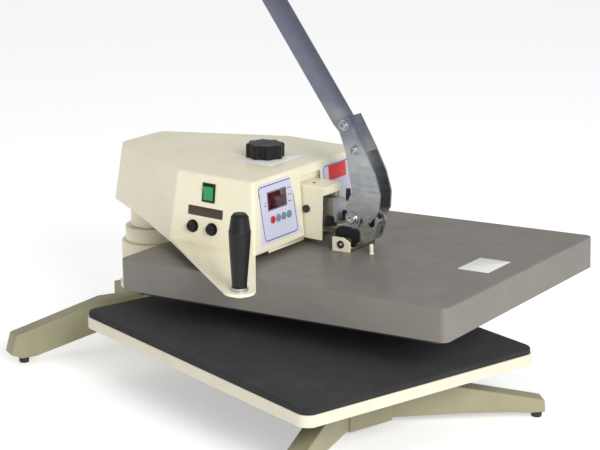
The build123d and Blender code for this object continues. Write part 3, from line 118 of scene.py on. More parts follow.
class Finish:
    # one material: a Principled shader and what varies over it

    def __init__(self, name, colour, roughness, metallic=0.0, **more):
        self.material = bpy.data.materials.new(name)
        self.material.use_nodes = True
        self.tree = self.material.node_tree
        self.shader = self.tree.nodes["Principled BSDF"]
        self.shader.inputs["Base Color"].default_value = (*colour, 1.0)
        self.shader.inputs["Roughness"].default_value = roughness
        self.shader.inputs["Metallic"].default_value = metallic
        for key, amount in more.items():
            self.shader.inputs[key.replace("_", " ")].default_value = amount

    def node(self, kind, inputs, output=0, **settings):
        made = self.tree.nodes.new(kind)
        for key, setting in settings.items():
            setattr(made, key, setting)
        for key, item in inputs.items():
            if isinstance(item, Value):
                self.tree.links.new(item.socket, made.inputs[key])
            else:
                made.inputs[key].default_value = item
        return Value(self.tree, made.outputs[output])

    def place(self, stretch=(1, 1, 1), origin=(0, 0, 0), turn=(0, 0, 0)):
        # Object coordinates moved to origin, turned into a piece's own axes and stretched
        where = self.node("ShaderNodeTexCoord", {}, "Object")
        if tuple(origin) != (0, 0, 0) or tuple(turn) != (0, 0, 0):
            where = self.node(
                "ShaderNodeMapping",
                {"Vector": where, "Location": origin, "Rotation": turn},
                vector_type="TEXTURE",
            )
        if tuple(stretch) != (1, 1, 1):
            where = self.node("ShaderNodeMapping", {"Vector": where, "Scale": stretch})
        return where

    def axes(self, where):
        parts = self.node("ShaderNodeSeparateXYZ", {"Vector": where}).socket.node
        return [Value(self.tree, socket) for socket in parts.outputs]

    def noise(self, scale, detail=3.0, roughness=0.55, where=None):
        return self.node(
            "ShaderNodeTexNoise",
            {
                "Vector": where or self.place(),
                "Scale": scale,
                "Detail": detail,
                "Roughness": roughness,
            },
        )

    def spread(self, value, low, high, start=0.3, end=0.7):
        # value from start to end becomes low to high
        return self.node(
            "ShaderNodeMapRange",
            {
                "Value": value,
                "From Min": start,
                "From Max": end,
                "To Min": low,
                "To Max": high,
            },
        )

    def mixed(self, first, second, factor):
        # sockets 6 and 7 and output 2 are the Mix node's colours
        first, second = (
            item if isinstance(item, Value) else (*item, 1.0) for item in (first, second)
        )
        inputs = {0: factor, 6: first, 7: second}
        return self.node("ShaderNodeMix", inputs, 2, data_type="RGBA")

    def feed(self, key, value):
        self.tree.links.new(value.socket, self.shader.inputs[key])

    def relief(self, height, distance):
        # height 0 to 1 stands out by up to that distance in metres
        self.feed("Normal", self.node("ShaderNodeBump", {"Height": height, "Distance": distance}))

    def cover(self, *names):
        for name in names:
            mesh = nodes[name].data
            mesh.materials.clear()
            mesh.materials.append(self.material)


# Finishes. Peel, scratch and grain are depths in metres.
enamels = {
    "creamEnamel": {
        "colour": (0.84, 0.79, 0.60), "roughness": 0.34,
        "peelScale": 420.0, "peel": 0.00004, "grime": 0.08,
    },
    # the legs' and spine's enamel is darkened to a dark olive as painted shade
    "shadedLegEnamel": {
        "colour": (0.31, 0.29, 0.175), "roughness": 0.45,
        "peelScale": 140.0, "peel": 0.0003, "grime": 0.2,
    },
    "trayEnamel": {
        "colour": (0.68, 0.63, 0.50), "roughness": 0.42,
        "peelScale": 420.0, "peel": 0.00004, "grime": 0.08,
    },
    "coverTexture": {
        "colour": (0.185, 0.170, 0.150), "roughness": 0.5,
        "peelScale": 900.0, "peel": 0.00012, "grime": 0.14,
    },
}


def enamelFinish(name):
    # paint with dull patches and a fine orange peel
    look = enamels[name]
    colour, roughness = look["colour"], look["roughness"]
    finish = Finish(name, colour, roughness, Coat_Weight=0.15, Coat_Roughness=0.2)
    patches = finish.noise(7.0, detail=5.0, roughness=0.6)
    dull = tuple(part * (1 - look["grime"]) for part in colour)
    share = finish.spread(patches, 0.0, 1.0, start=0.42, end=0.72)
    finish.feed("Base Color", finish.mixed(colour, dull, share))
    wear = finish.noise(30.0, detail=4.0)
    finish.feed("Roughness", finish.spread(wear, roughness - 0.04, roughness + 0.1))
    finish.relief(finish.noise(look["peelScale"], detail=2.0), look["peel"])
    return finish


creamPaint = enamelFinish("creamEnamel")
creamPaint.cover(
    "arm_ribs", "beam_end_bracket", "pivot_saddle", "pressure_beam", "head_sleeve",
)
# legs and spine in the darkened enamel: painted shade
shadedLegPaint = enamelFinish("shadedLegEnamel")
shadedLegPaint.cover("base_spine")
trayPaint = enamelFinish("trayEnamel")
trayPaint.cover("lower_tray")
coverPaint = enamelFinish("coverTexture")
coverPaint.cover("platen_cover")

metals = {
    # the yoke's zinc carries painted shade: its dark blue colour takes over towards the top
    "zincPlate": {
        "colour": (0.19, 0.205, 0.265), "tint": (0.48, 0.50, 0.50), "roughness": 0.30,
        "grain": (0.6, 0.6, 3), "scratch": 0.000006, "topShade": -2.0,
    },
    "paleZinc": {
        "colour": (0.56, 0.58, 0.57), "tint": (0.42, 0.44, 0.42), "roughness": 0.30,
        "grain": (0.6, 0.6, 3), "scratch": 0.000006,
    },
    "turnedSteel": {
        "colour": (0.55, 0.55, 0.56), "tint": (0.418, 0.418, 0.4256), "roughness": 0.3,
        "grain": (1, 1, 14), "scratch": 0.00002,
    },
    "turnedBrass": {
        "colour": (0.78, 0.58, 0.28), "tint": (0.5928, 0.4408, 0.2128), "roughness": 0.3,
        "grain": (1, 1, 14), "scratch": 0.00002,
    },
    "screwSteel": {
        "colour": (0.55, 0.55, 0.56), "tint": (0.484, 0.484, 0.4928), "roughness": 0.3,
        "grain": (2, 2, 10), "scratch": 0.00001,
    },
    "yellowZinc": {
        "colour": (0.30, 0.26, 0.16), "tint": (0.16, 0.15, 0.11), "roughness": 0.38,
        "grain": (2, 2, 2), "scratch": 0.00001,
    },
}


def metalFinish(name):
    # clouds of two tints under fine scratches; where a look gives a top shade, the first tint
    # takes over with height, as painted shade darker towards the top
    look = metals[name]
    finish = Finish(name, look["colour"], look["roughness"], 1.0)
    along = finish.noise(60.0, detail=3.0, roughness=0.6, where=finish.place(look["grain"]))
    if "topShade" in look:
        height = finish.axes(finish.place())[2]
        clouds = finish.noise(9.0) + height * look["topShade"]
        share = finish.spread(clouds, 0.0, 1.0, start=-0.25, end=0.12)
    else:
        share = finish.spread(finish.noise(16.0), 0.0, 1.0, start=0.38, end=0.66)
    finish.feed("Base Color", finish.mixed(look["colour"], look["tint"], share))
    low, high = look["roughness"] - 0.07, look["roughness"] + 0.12
    finish.feed("Roughness", finish.spread(along, low, high))
    finish.relief(along, look["scratch"])
    return finish


zincPlate = metalFinish("zincPlate")
zincPlate.cover("lever_yoke")
paleZinc = metalFinish("paleZinc")
paleZinc.cover("tongue", "toggle_link")
turnedSteel = metalFinish("turnedSteel")
turnedSteel.cover(
    "swing_post", "post_fittings", "beam_pivot_pin", "screw_bearing", "pressure_screw",
    "crank_pin", "grip_bolt", "heating_element", "thermostat_probe",
)
turnedBrass = metalFinish("turnedBrass")
turnedBrass.cover("post_bushes", "pressure_nut")
screwSteel = metalFinish("screwSteel")
yellowZinc = metalFinish("yellowZinc")

plastics = {
    "blackPlastic": {
        "colour": (0.008, 0.008, 0.009), "roughness": 0.38, "Specular_IOR_Level": 0.3,
    },
    # black oxide for bolts, plugs and the set screw, and painted shade on the push block
    "blackOxideAndShade": {"colour": (0.02, 0.02, 0.022), "roughness": 0.3},
    "footRubber": {
        "colour": (0.02, 0.02, 0.02), "roughness": 0.7, "grainScale": 300.0, "grain": 0.0001,
    },
    "keyPlastic": {"colour": (0.16, 0.24, 0.27), "roughness": 0.4},
    "redPlastic": {"colour": (0.55, 0.02, 0.02), "roughness": 0.32},
    "boardGreen": {"colour": (0.02, 0.16, 0.06), "roughness": 0.4},
    "inkBlue": {"colour": (0.02, 0.04, 0.16), "roughness": 0.4},
    "whiteFilm": {
        "colour": (0.80, 0.80, 0.78), "roughness": 0.3, "grainScale": 260.0, "grain": 0.00001,
    },
    "brownFilm": {
        "colour": (0.050, 0.033, 0.020), "roughness": 0.3, "grainScale": 260.0, "grain": 0.00001,
    },
    "redFilm": {
        "colour": (0.78, 0.01, 0.02), "roughness": 0.3, "grainScale": 260.0, "grain": 0.00001,
    },
}


def plasticFinish(name, colour, roughness, grainScale=600.0, grain=0.00005, **more):
    # moulded plastic, film or blackened steel with a fine grain
    finish = Finish(name, colour, roughness, **more)
    wear = finish.noise(45.0, detail=5.0)
    finish.feed("Roughness", finish.spread(wear, roughness - 0.06, roughness + 0.12))
    finish.relief(finish.noise(grainScale, detail=2.0), grain)
    return finish


plastic = {name: plasticFinish(name, **look) for name, look in plastics.items()}
plastic["blackPlastic"].cover(
    "tray_support", "swing_grip", "pressure_knob", "rocker_bezel",
    "fuse_holders", "fuse_cap_front", "fuse_cap_rear", "power_inlet",
)
# the push block is painted near-black as painted shade in the dark region beside and under the
# bracket; the tongue's bolts are black oxide
plastic["blackOxideAndShade"].cover("tongue_bolts", "push_block")
plastic["footRubber"].cover("rubber_feet")
plastic["keyPlastic"].cover("left_key", "middle_key", "right_key")
plastic["redPlastic"].cover("red_key")
plastic["boardGreen"].cover("controller_board")


plains = {
    "coatedPlate": {
        "colour": (0.018, 0.018, 0.019), "roughness": 0.42, "more": {},
        "scale": 50.0, "gloss": (0.36, 0.52),
    },
    "greenPlastic": {
        "colour": (0.02, 0.34, 0.10), "roughness": 0.22, "more": {"Transmission_Weight": 0.15},
        "scale": 80.0, "gloss": (0.18, 0.3),
    },
    "displayGlass": {
        "colour": (0.05, 0.004, 0.008), "roughness": 0.08, "more": {"Coat_Weight": 1.0},
        "scale": 60.0, "gloss": (0.05, 0.14),
    },
    "lampLens": {
        "colour": (0.45, 0.03, 0.03), "roughness": 0.15, "more": {"Coat_Weight": 0.6},
        "scale": 200.0, "gloss": (0.1, 0.22),
    },
}


def plainFinish(name):
    # one colour all over, whose roughness alone varies
    look = plains[name]
    finish = Finish(name, look["colour"], look["roughness"], **look["more"])
    finish.feed("Roughness", finish.spread(finish.noise(look["scale"]), *look["gloss"]))
    return finish


coatedPlate = plainFinish("coatedPlate")
coatedPlate.relief(coatedPlate.noise(1100.0, detail=2.0), 0.00003)
coatedPlate.cover("heat_platen")
plainFinish("greenPlastic").cover("power_rocker")
plainFinish("displayGlass").cover("display_window")
lensFinish = plainFinish("lampLens")
fibreLook = {"colour": (0.70, 0.67, 0.58), "roughness": 0.95, "scale": 260.0, "depth": 0.001}
fibre = Finish("mineralFibre", fibreLook["colour"], fibreLook["roughness"])
fibre.relief(fibre.noise(fibreLook["scale"], detail=6.0, roughness=0.8), fibreLook["depth"])
fibre.cover("insulation_blanket")
print("stage: finishes")


def headMatrix(x, y, z, turn=Matrix.Identity(4)):
    return headPlace @ Matrix.Translation((x, y, z)) @ turn


def addPiece(bm, name, body, finish, matrix, smoothAngle=35.0):
    # bm is in millimetres in its own place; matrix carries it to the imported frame
    bm.transform(matrix)
    bmesh.ops.remove_doubles(bm, verts=bm.verts, dist=0.000001)
    bmesh.ops.recalc_face_normals(bm, faces=bm.faces)
    mesh = bpy.data.meshes.new(name)
    bm.to_mesh(mesh)
    bm.free()
    mesh.materials.append(finish.material)
    mesh.shade_smooth()
    mesh.set_sharp_from_angle(angle=math.radians(smoothAngle))
    piece = bpy.data.objects.new(name, mesh)
    bpy.context.scene.collection.objects.link(piece)
    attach(piece, body)
    return piece


def rounded(bm, edges, offset, segments):
    bmesh.ops.bevel(
        bm, geom=edges, offset=offset, segments=segments, affect="EDGES", profile=0.5,
        material=-1,
    )


def extruded(points, way):
    # closed outline of points, drawn out along way
    bm = bmesh.new()
    face = bm.faces.new([bm.verts.new(point) for point in points])
    grown = bmesh.ops.extrude_face_region(bm, geom=[face], use_keep_orig=True)
    moved = [item for item in grown["geom"] if isinstance(item, bmesh.types.BMVert)]
    bmesh.ops.translate(bm, verts=moved, vec=way)
    return bm


def arc(centre, radius, start, stop, steps):
    # points round a centre from one angle in degrees to another
    angles = [math.radians(start + (stop - start) * step / steps) for step in range(steps + 1)]
    return [(centre[0] + radius * math.cos(a), centre[1] + radius * math.sin(a)) for a in angles]


def slab(width, depth, corner, thickness, edge, edgeSteps, cornerSteps=8):
    # rounded rectangle lying on z = 0, its top edge rounded over
    ring = []
    for cx, cy, start in (
        (width / 2 - corner, depth / 2 - corner, 0),
        (corner - width / 2, depth / 2 - corner, 90),
        (corner - width / 2, corner - depth / 2, 180),
        (width / 2 - corner, corner - depth / 2, 270),
    ):
        ring += [(x, y, 0) for x, y in arc((cx, cy), corner, start, start + 90, cornerSteps)]
    bm = extruded(ring, (0, 0, thickness))
    rim = [e for e in bm.edges if all(v.co.z > thickness - hair for v in e.verts)]
    rounded(bm, rim, edge, edgeSteps)
    return bm


def turned(profile, steps):
    # (radius, height) points turned about Z; a ring's outline and a dome's foot are closed
    bm = bmesh.new()
    points = list(profile)
    if points[0][0] == 0 and points[-1][0] > 0:
        points.append((0, points[-1][1]))
    verts = [bm.verts.new((radius, 0, height)) for radius, height in points]
    edges = [bm.edges.new(pair) for pair in zip(verts, verts[1:])]
    if points[0][0] > 0:
        edges.append(bm.edges.new((verts[-1], verts[0])))
    bmesh.ops.spin(
        bm, geom=verts + edges, cent=(0, 0, 0), axis=(0, 0, 1),
        angle=2 * math.pi, steps=steps, use_merge=True, use_duplicate=False,
    )
    return bm


def rod(radius, half):
    # outline of a plain rod, half its length each way
    return [(0, -half), (radius, -half), (radius, half), (0, half)]


def block(width, depth, height, edge=0.0):
    bm = bmesh.new()
    bmesh.ops.create_cube(bm, size=1.0, matrix=Matrix.Diagonal((width, depth, height, 1)))
    if edge:
        rounded(bm, bm.edges[:], edge, 2)
    return bm


def socketHead(radius, height, socket, steps=30):
    # cap screw head standing on z = 0 with a hexagon socket
    bm = bmesh.new()
    rings = []
    for r, z, count, capped in (
        (radius, 0, steps, True),
        (radius, height * 0.78, steps, False),
        (radius * 0.95, height * 0.93, steps, False),
        (radius * 0.84, height, steps, False),
        (socket * 1.12, height, steps, False),
        (socket, height * 0.93, 6, False),
        (socket, height * 0.35, 6, True),
    ):
        made = bmesh.ops.create_circle(
            bm, cap_ends=capped, segments=count, radius=r, matrix=Matrix.Translation((0, 0, z))
        )["verts"]
        rings.append(list({edge for vert in made for edge in vert.link_edges}))
    for low, high in zip(rings, rings[1:]):
        bmesh.ops.bridge_loops(bm, edges=low + high)
    return bm


def mergeInto(target, source, matrix=Matrix.Identity(4)):
    # adds one shape to another; source is used up
    source.transform(matrix)
    holder = bpy.data.meshes.new("holder")
    source.to_mesh(holder)
    source.free()
    target.from_mesh(holder)
    bpy.data.meshes.remove(holder)


def sidePlate(points, halfWidth, edge=0.0, x=0.0):
    # outline given as (y, z) in the head's side view, made halfWidth thick each way about x
    bm = extruded([(x - halfWidth, y, z) for y, z in points], (2 * halfWidth, 0, 0))
    if edge:
        rounded(bm, bm.edges[:], edge, 2)
    return bm


# the pad
padLook = {
    "width": 507.6, "depth": 634.6, "corner": 20, "thickness": 10.95, "foot": -11,
    "edge": 4.5, "colour": (0.022, 0.022, 0.023), "worn": (0.034, 0.034, 0.036),
    "nap": 0.0006, "fill": 0.8,
}
padFelt = Finish(
    "padFelt", padLook["colour"], 0.95,
    Sheen_Weight=0.06, Sheen_Roughness=0.6, Specular_IOR_Level=0.2,
)
padWear = padFelt.spread(
    padFelt.noise(14.0, detail=6.0, roughness=0.7), 0.0, 1.0, start=0.4, end=0.7
)
padFelt.feed("Base Color", padFelt.mixed(padLook["colour"], padLook["worn"], padWear))
padFelt.relief(padFelt.noise(900.0, detail=4.0, roughness=0.7), padLook["nap"])
padShape = slab(
    padLook["width"], padLook["depth"], padLook["corner"], padLook["thickness"],
    padLook["edge"], edgeSteps=5, cornerSteps=12,
)
padPlace = standPlace @ Matrix.Translation((0, 0, padLook["foot"]))
pad = addPiece(padShape, "padFelt", "stand", padFelt, padPlace)
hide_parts("lower_pad")
print("stage: pad")

# The housing's raked front carries the control panel: y and z of its foot, and how far it
# leans over its height.
frontFace = {"foot": (95, 133), "lean": (13, 124)}
rake = math.atan2(*frontFace["lean"])


def faceMatrix(x, rise, out=0.0):
    # on the housing's raked front: x across and rise up it, in millimetres
    footY, footZ = frontFace["foot"]
    return headMatrix(
        x,
        footY + rise * math.sin(rake) - out * math.cos(rake),
        footZ + rise * math.cos(rake) + out * math.sin(rake),
        Matrix.Rotation(math.radians(90) - rake, 4, "X"),
    )


# bare film with a dark rounded outline, its sizes in metres and its centre in millimetres
panelLook = {
    "film": (0.66, 0.66, 0.80), "ink": (0.03, 0.035, 0.12), "band": (0.46, 0.48, 0.66),
    "bandShare": 0.25, "line": 0.0017, "cornerInset": 0.008, "lineRadius": 0.0068,
    "roughness": 0.36, "gloss": (0.3, 0.44),
    "centre": (-109, 63), "halfWidth": 0.052, "halfHeight": 0.050, "lean": 0.10,
}


def filmFinish(name, centre, halfWidth, halfHeight, lean):
    # outline drawn as the edge of a rounded box in the face's own axes
    finish = Finish(name, panelLook["film"], panelLook["roughness"])
    face = faceMatrix(*centre)
    where = finish.place(origin=face.to_translation(), turn=face.to_euler("XYZ"))
    across, up, out = finish.axes(where)
    across = across + up * lean
    dx = (across.size() - (halfWidth - panelLook["cornerInset"])).atLeast(0.0)
    dy = (up.size() - (halfHeight - panelLook["cornerInset"])).atLeast(0.0)
    reach = (dx * dx + dy * dy).root()
    line = (reach - panelLook["lineRadius"]).size() < panelLook["line"] / 2
    inside = reach < panelLook["lineRadius"]
    film = finish.mixed(panelLook["film"], panelLook["band"], inside * panelLook["bandShare"])
    finish.feed("Base Color", finish.mixed(film, panelLook["ink"], line))
    finish.feed("Roughness", finish.spread(finish.noise(90.0), *panelLook["gloss"]))
    return finish


panelFilm = filmFinish(
    "panelFilm", panelLook["centre"], panelLook["halfWidth"], panelLook["halfHeight"],
    panelLook["lean"],
)
panelFilm.cover("control_panel")

# Cast legs: plain faces, rounded edges, arched underneath. Each outline is (distance from the
# foot towards the spine, z), edges turning by more than sharp radians are rounded, and the
# legs are cut off at the spine's sides.
castLegs = {
    "width": 34.0,
    "bottom": -128.0,
    "spineTop": -37.0,
    "spineHalf": 47.5,
    "footX": 286.0,
    "padHalf": 17.0,
    "edge": 2.5,
    "overrun": 4.0,
    "sharp": 0.35,
    "front": {
        "footY": -298.0, "angle": 29.4, "flat": 4.0, "drop": 10.0,
        "end": [(-11, -128), (-9, -105)],
        "under": [(230, -124), (140, -123), (60, -125)],
        "heel": [],
    },
    "rear": {
        "footY": 484.0, "angle": -9.0, "flat": 82.0, "drop": 0.0,
        "end": [(-31, -119), (-21, -82)],
        "under": [(245, -84), (190, -91), (132, -102.5), (60, -118.5)],
        "heel": [(-10, -128)],
    },
}


def legShape(side, which):
    look = castLegs[which]
    half = castLegs["width"] / 2
    heading = math.radians(look["angle"])
    run = (castLegs["footX"] - castLegs["spineHalf"]) / math.cos(heading)
    past = run + half * abs(math.tan(heading)) + castLegs["overrun"]
    top = castLegs["spineTop"] - look["drop"]
    outline = look["end"] + [(run - look["flat"], top), (past, top), (past, look["under"][0][1])]
    outline += look["under"] + [(castLegs["padHalf"], castLegs["bottom"])] + look["heel"]
    bm = extruded([(s, -half, z) for s, z in outline], (0, castLegs["width"], 0))
    bmesh.ops.recalc_face_normals(bm, faces=bm.faces)
    creases = [
        e for e in bm.edges
        if len(e.link_faces) == 2 and e.calc_face_angle() > castLegs["sharp"]
    ]
    rounded(bm, creases, castLegs["edge"], 4)
    along = Vector((-side * math.cos(heading), math.sin(heading), 0))
    up = Vector((0, 0, 1))
    turn = Matrix((along, up.cross(along), up)).transposed().to_4x4()
    bm.transform(Matrix.Translation((side * castLegs["footX"], look["footY"], 0)) @ turn)
    bmesh.ops.bisect_plane(
        bm, geom=bm.verts[:] + bm.edges[:] + bm.faces[:],
        plane_co=(side * castLegs["spineHalf"], 0, 0), plane_no=(side, 0, 0), clear_inner=True,
    )
    bmesh.ops.holes_fill(bm, edges=bm.edges[:], sides=0)
    return bm


for side, word in ((-1, "left"), (1, "right")):
    for which in ("front", "rear"):
        legName = which + word.capitalize() + "Leg"
        leg = addPiece(
            legShape(side, which), legName, "stand", shadedLegPaint, standPlace
        )
        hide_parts(f"{which}_leg_{word}")

# the column and its collar: (radius, z) outlines bored for the swing post
postRings = {
    "columnWelded": {
        "node": "column", "steps": 72,
        "outline": [
            (22.2, -37), (60, -37), (60, -28.2), (58.8, -27), (57.2, -26.6), (56, -24.5),
            (56, 53.5), (55.4, 54.9), (54, 55.5), (22.2, 55.5),
        ],
    },
    "collarTurned": {
        "node": "swing_collar", "steps": 72,
        "outline": [
            (22.2, 55.6), (47.5, 55.6), (49, 57), (49, 82.5), (48.4, 83.6), (47.5, 84),
            (22.2, 84),
        ],
    },
}
postPlace = standPlace @ Matrix.Translation((0, press["postY"], 0))
for ringName, ring in postRings.items():
    ringShape = turned(ring["outline"], ring["steps"])
    ringPiece = addPiece(ringShape, ringName, "stand", creamPaint, postPlace)
    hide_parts(ring["node"])

# the swing wing: runs straight from the head's front corner to the round tip
wingLook = {
    "tip": (-367, -1), "radius": 27, "frontRoot": (-177, 101.5), "rearRoot": (-187, 284),
    "innerX": -140, "low": 125.0, "high": 130.4, "edge": 1.3, "steps": 24,
}


def touching(root, side):
    # angle round the wing's tip at which a line from the root touches it
    away = Vector(wingLook["tip"]) - Vector(root)
    swing = math.asin(wingLook["radius"] / away.length)
    return math.degrees(math.atan2(away.y, away.x) + side * (swing + math.pi / 2)) % 360


wingOutline = [(wingLook["innerX"], wingLook["frontRoot"][1]), wingLook["frontRoot"]]
wingOutline += arc(
    wingLook["tip"], wingLook["radius"],
    touching(wingLook["frontRoot"], 1), touching(wingLook["rearRoot"], -1),
    wingLook["steps"],
)
wingOutline += [wingLook["rearRoot"], (wingLook["innerX"], wingLook["rearRoot"][1])]
wingShape = extruded(
    [(x, y, wingLook["low"]) for x, y in wingOutline],
    (0, 0, wingLook["high"] - wingLook["low"]),
)
wingRims = [e for e in wingShape.edges if abs(e.verts[0].co.z - e.verts[1].co.z) < hair]
rounded(wingShape, wingRims, wingLook["edge"], 3)
wingPiece = addPiece(wingShape, "wingPlate", "head", creamPaint, headPlace)
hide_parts("swing_wing")

# The head's cover and floor plate, drawn up and in at the rear. The housing's own sizes come
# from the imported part: y at its bend and its rear, both less at the top by their lean.
rearLook = {"lift": 14.0, "draw": 6.0, "floorHalf": 36.0}
housing = {
    "foot": 133, "height": 124, "bend": 283, "rear": 521, "bendLean": 11, "rearLean": 22,
    "rearHalf": 66, "keptHalf": 33, "leastShare": 0.05,
}


def liftRear(spot):
    share = min(max((spot.z - housing["foot"]) / housing["height"], 0), 1)
    bend = housing["bend"] - housing["bendLean"] * share
    rear = housing["rear"] - housing["rearLean"] * share
    along = max(spot.y - bend, 0) / (rear - bend)
    spot.z += rearLook["lift"] * along * (1 - share)
    spot.y -= rearLook["draw"] * along * (1 - share)


def trimRear(spot):
    kept = housing["keptHalf"]
    along = max(spot.y - housing["bend"], 0) / (housing["rear"] - housing["bend"])
    if abs(spot.x) > kept:
        shrink = 1 - along * (housing["rearHalf"] - rearLook["floorHalf"]) / kept
        shrink = max(shrink, housing["leastShare"])
        spot.x = math.copysign(kept + (abs(spot.x) - kept) * shrink, spot.x)
    spot.y -= rearLook["draw"] * along


for nodeName, pieceName, move in (
    ("housing_cover", "headCover", liftRear),
    ("chassis_plate", "headFloor", trimRear),
):
    shape = bmesh.new()
    shape.from_mesh(nodes[nodeName].data)
    shape.transform(headPlace.inverted())
    for vert in shape.verts:
        move(vert.co)
    piece = addPiece(
        shape, pieceName, "head", creamPaint, headPlace, smoothAngle=25.0
    )
    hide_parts(nodeName)
print("stage: stand and head shapes")

# lever bar: a flat strap between the yoke's cheeks, with its grip
strap = {
    "lean": 37.2, "foot": (38.0, 350.1), "reach": 405.0, "depth": 43.0, "half": 4.5, "edge": 1.2,
    "heel": [
        (4.97, 337.9), (-13.06, 307.9), (-13.06, 291.9), (4.05, 286.95), (20.06, 304.06),
    ],
}
grip = {"length": 125.0, "wall": 4.0, "edge": 6.0}
lean = math.radians(strap["lean"])
strapUp = Vector((math.sin(lean), math.cos(lean)))
strapAcross = Vector((math.cos(lean), -math.sin(lean)))


def strapBox(foot, top, half):
    return [
        foot + strapAcross * half, top + strapAcross * half,
        top - strapAcross * half, foot - strapAcross * half,
    ]


strapFoot = Vector(strap["foot"])
strapTop = strapFoot + strapUp * strap["reach"]
strapPoints = strapBox(strapFoot, strapTop, strap["depth"] / 2) + strap["heel"]
strapShape = sidePlate(strapPoints, strap["half"], strap["edge"])
barPiece = addPiece(strapShape, "leverStrap", "lever", zincPlate, headPlace)
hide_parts("lever_bar")
gripTop = strapTop + strapUp * grip["wall"]
gripFoot = gripTop - strapUp * grip["length"]
gripPoints = strapBox(gripFoot, gripTop, strap["depth"] / 2 + grip["wall"])
gripShape = sidePlate(gripPoints, strap["half"] + grip["wall"])
rounded(gripShape, gripShape.edges[:], grip["edge"], 6)
leverGripPiece = addPiece(
    gripShape, "leverGripSleeve", "lever", plastic["blackPlastic"], headPlace
)
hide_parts("lever_grip")

# label places: bare films where the real press carries printed ones
flankLook = {"foot": (-189, 133), "lean": (12, 124)}  # the head's left flank: x and z, rake
flankRake = math.atan2(*flankLook["lean"])


def flankMatrix(y, rise):
    # on the head's left flank: x runs to the front, y up the slope, z outwards
    axis = Matrix((
        (0, math.sin(flankRake), -math.cos(flankRake)),
        (-1, 0, 0),
        (0, math.cos(flankRake), math.sin(flankRake)),
    ))
    footX, footZ = flankLook["foot"]
    spot = Vector((footX, y, footZ)) + axis @ Vector((0, rise, 0))
    return headPlace @ Matrix.Translation(spot) @ axis.to_4x4()


films = {
    "flankPlate": {
        "size": (76, 17), "finish": "brownFilm", "body": "head",
        "matrix": flankMatrix(206, 57.5),
    },
    "headTopPlate": {
        "size": (112, 70), "finish": "whiteFilm", "body": "head",
        "matrix": headMatrix(0, 190, 257),
    },
    "coverPlate": {
        "size": (82, 60), "finish": "whiteFilm", "body": "platen",
        "matrix": platenPlace @ Matrix.Translation((-8, -270, -12.8)),
    },
    "frontBand": {
        "size": (58, 27), "finish": "redFilm", "body": "head",
        "matrix": faceMatrix(88, 96, 0.8),
    },
}
for filmName, film in films.items():
    shape = slab(
        *film["size"], corner=1.5, thickness=0.35, edge=0.15, edgeSteps=2, cornerSteps=4
    )
    finish = plastic[film["finish"]]
    addPiece(shape, filmName, film["body"], finish, film["matrix"])

# the second overlay, to the right of the panel
overlay = {
    "centre": (101.5, 62), "size": (127, 107), "corner": 7, "thickness": 0.8, "edge": 0.3,
    "halfWidth": 0.060, "halfHeight": 0.050, "lean": 0.0,
}
frontFilm = filmFinish(
    "frontFilm", overlay["centre"], overlay["halfWidth"], overlay["halfHeight"],
    overlay["lean"],
)
overlayShape = slab(
    *overlay["size"], overlay["corner"], overlay["thickness"], overlay["edge"], edgeSteps=2
)
addPiece(
    overlayShape, "frontOverlay", "head", frontFilm,
    faceMatrix(*overlay["centre"]),
)
print("stage: label places")

# lamps, ink ticks beside them and the display's frame, placed by (x, rise) on the front
lampLook = {
    "dome": [(0, 0.9), (0.7, 0.8), (1.3, 0.35), (1.3, 0)], "domeOut": 1.2, "steps": 16,
    "tick": (7, 1.3, 0.2), "tickOut": 1.25,
    "places": {  # each lamp with the shift of its tick
        (-76, 96): (6, 0), (-76, 84): (6, 0), (-76, 72): (6, 0), (-146, 82): (-1, -5),
    },
}
lensShape = bmesh.new()
tickShape = bmesh.new()
for (lampX, lampRise), (shiftX, shiftRise) in lampLook["places"].items():
    dome = turned(lampLook["dome"], lampLook["steps"])
    mergeInto(lensShape, dome, faceMatrix(lampX, lampRise, lampLook["domeOut"]))
    tickPlace = faceMatrix(lampX + shiftX, lampRise + shiftRise, lampLook["tickOut"])
    mergeInto(tickShape, block(*lampLook["tick"]), tickPlace)
addPiece(lensShape, "panelLamps", "head", lensFinish, asMade)
addPiece(tickShape, "panelTicks", "head", plastic["inkBlue"], asMade)
displayLook = {
    "centre": (-111, 83), "out": 1.4, "height": 0.6, "edge": 0.2,
    "bars": ((0, 16.2, 58, 1.2), (0, -16.2, 58, 1.2), (28.4, 0, 1.2, 33), (-28.4, 0, 1.2, 33)),
}
frameShape = bmesh.new()
for dx, dy, barWidth, barHeight in displayLook["bars"]:
    centreX, centreRise = displayLook["centre"]
    mergeInto(
        frameShape,
        block(barWidth, barHeight, displayLook["height"], displayLook["edge"]),
        faceMatrix(centreX + dx, centreRise + dy, displayLook["out"]),
    )
addPiece(
    frameShape, "displayFrame", "head", plastic["blackPlastic"], asMade
)
print("stage: panel trim")

leftOut = Matrix.Rotation(math.radians(-90), 4, "Y")  # a shape's top then faces the head's left
rightOut = Matrix.Rotation(math.radians(90), 4, "Y")


def bothSides(target, centre, rings, head=None):
    # rings of (outline, steps) about an axis across the head, and a cap screw's head, each
    # on the left and on the right
    for side, turn in ((-1, leftOut), (1, rightOut)):
        for outline, steps in rings:
            mergeInto(target, turned(outline, steps), headMatrix(*centre, turn))
        if head:
            cap = socketHead(head["radius"], head["height"], head["socket"])
            mergeInto(target, cap, headMatrix(side * head["out"], *centre[1:], turn))


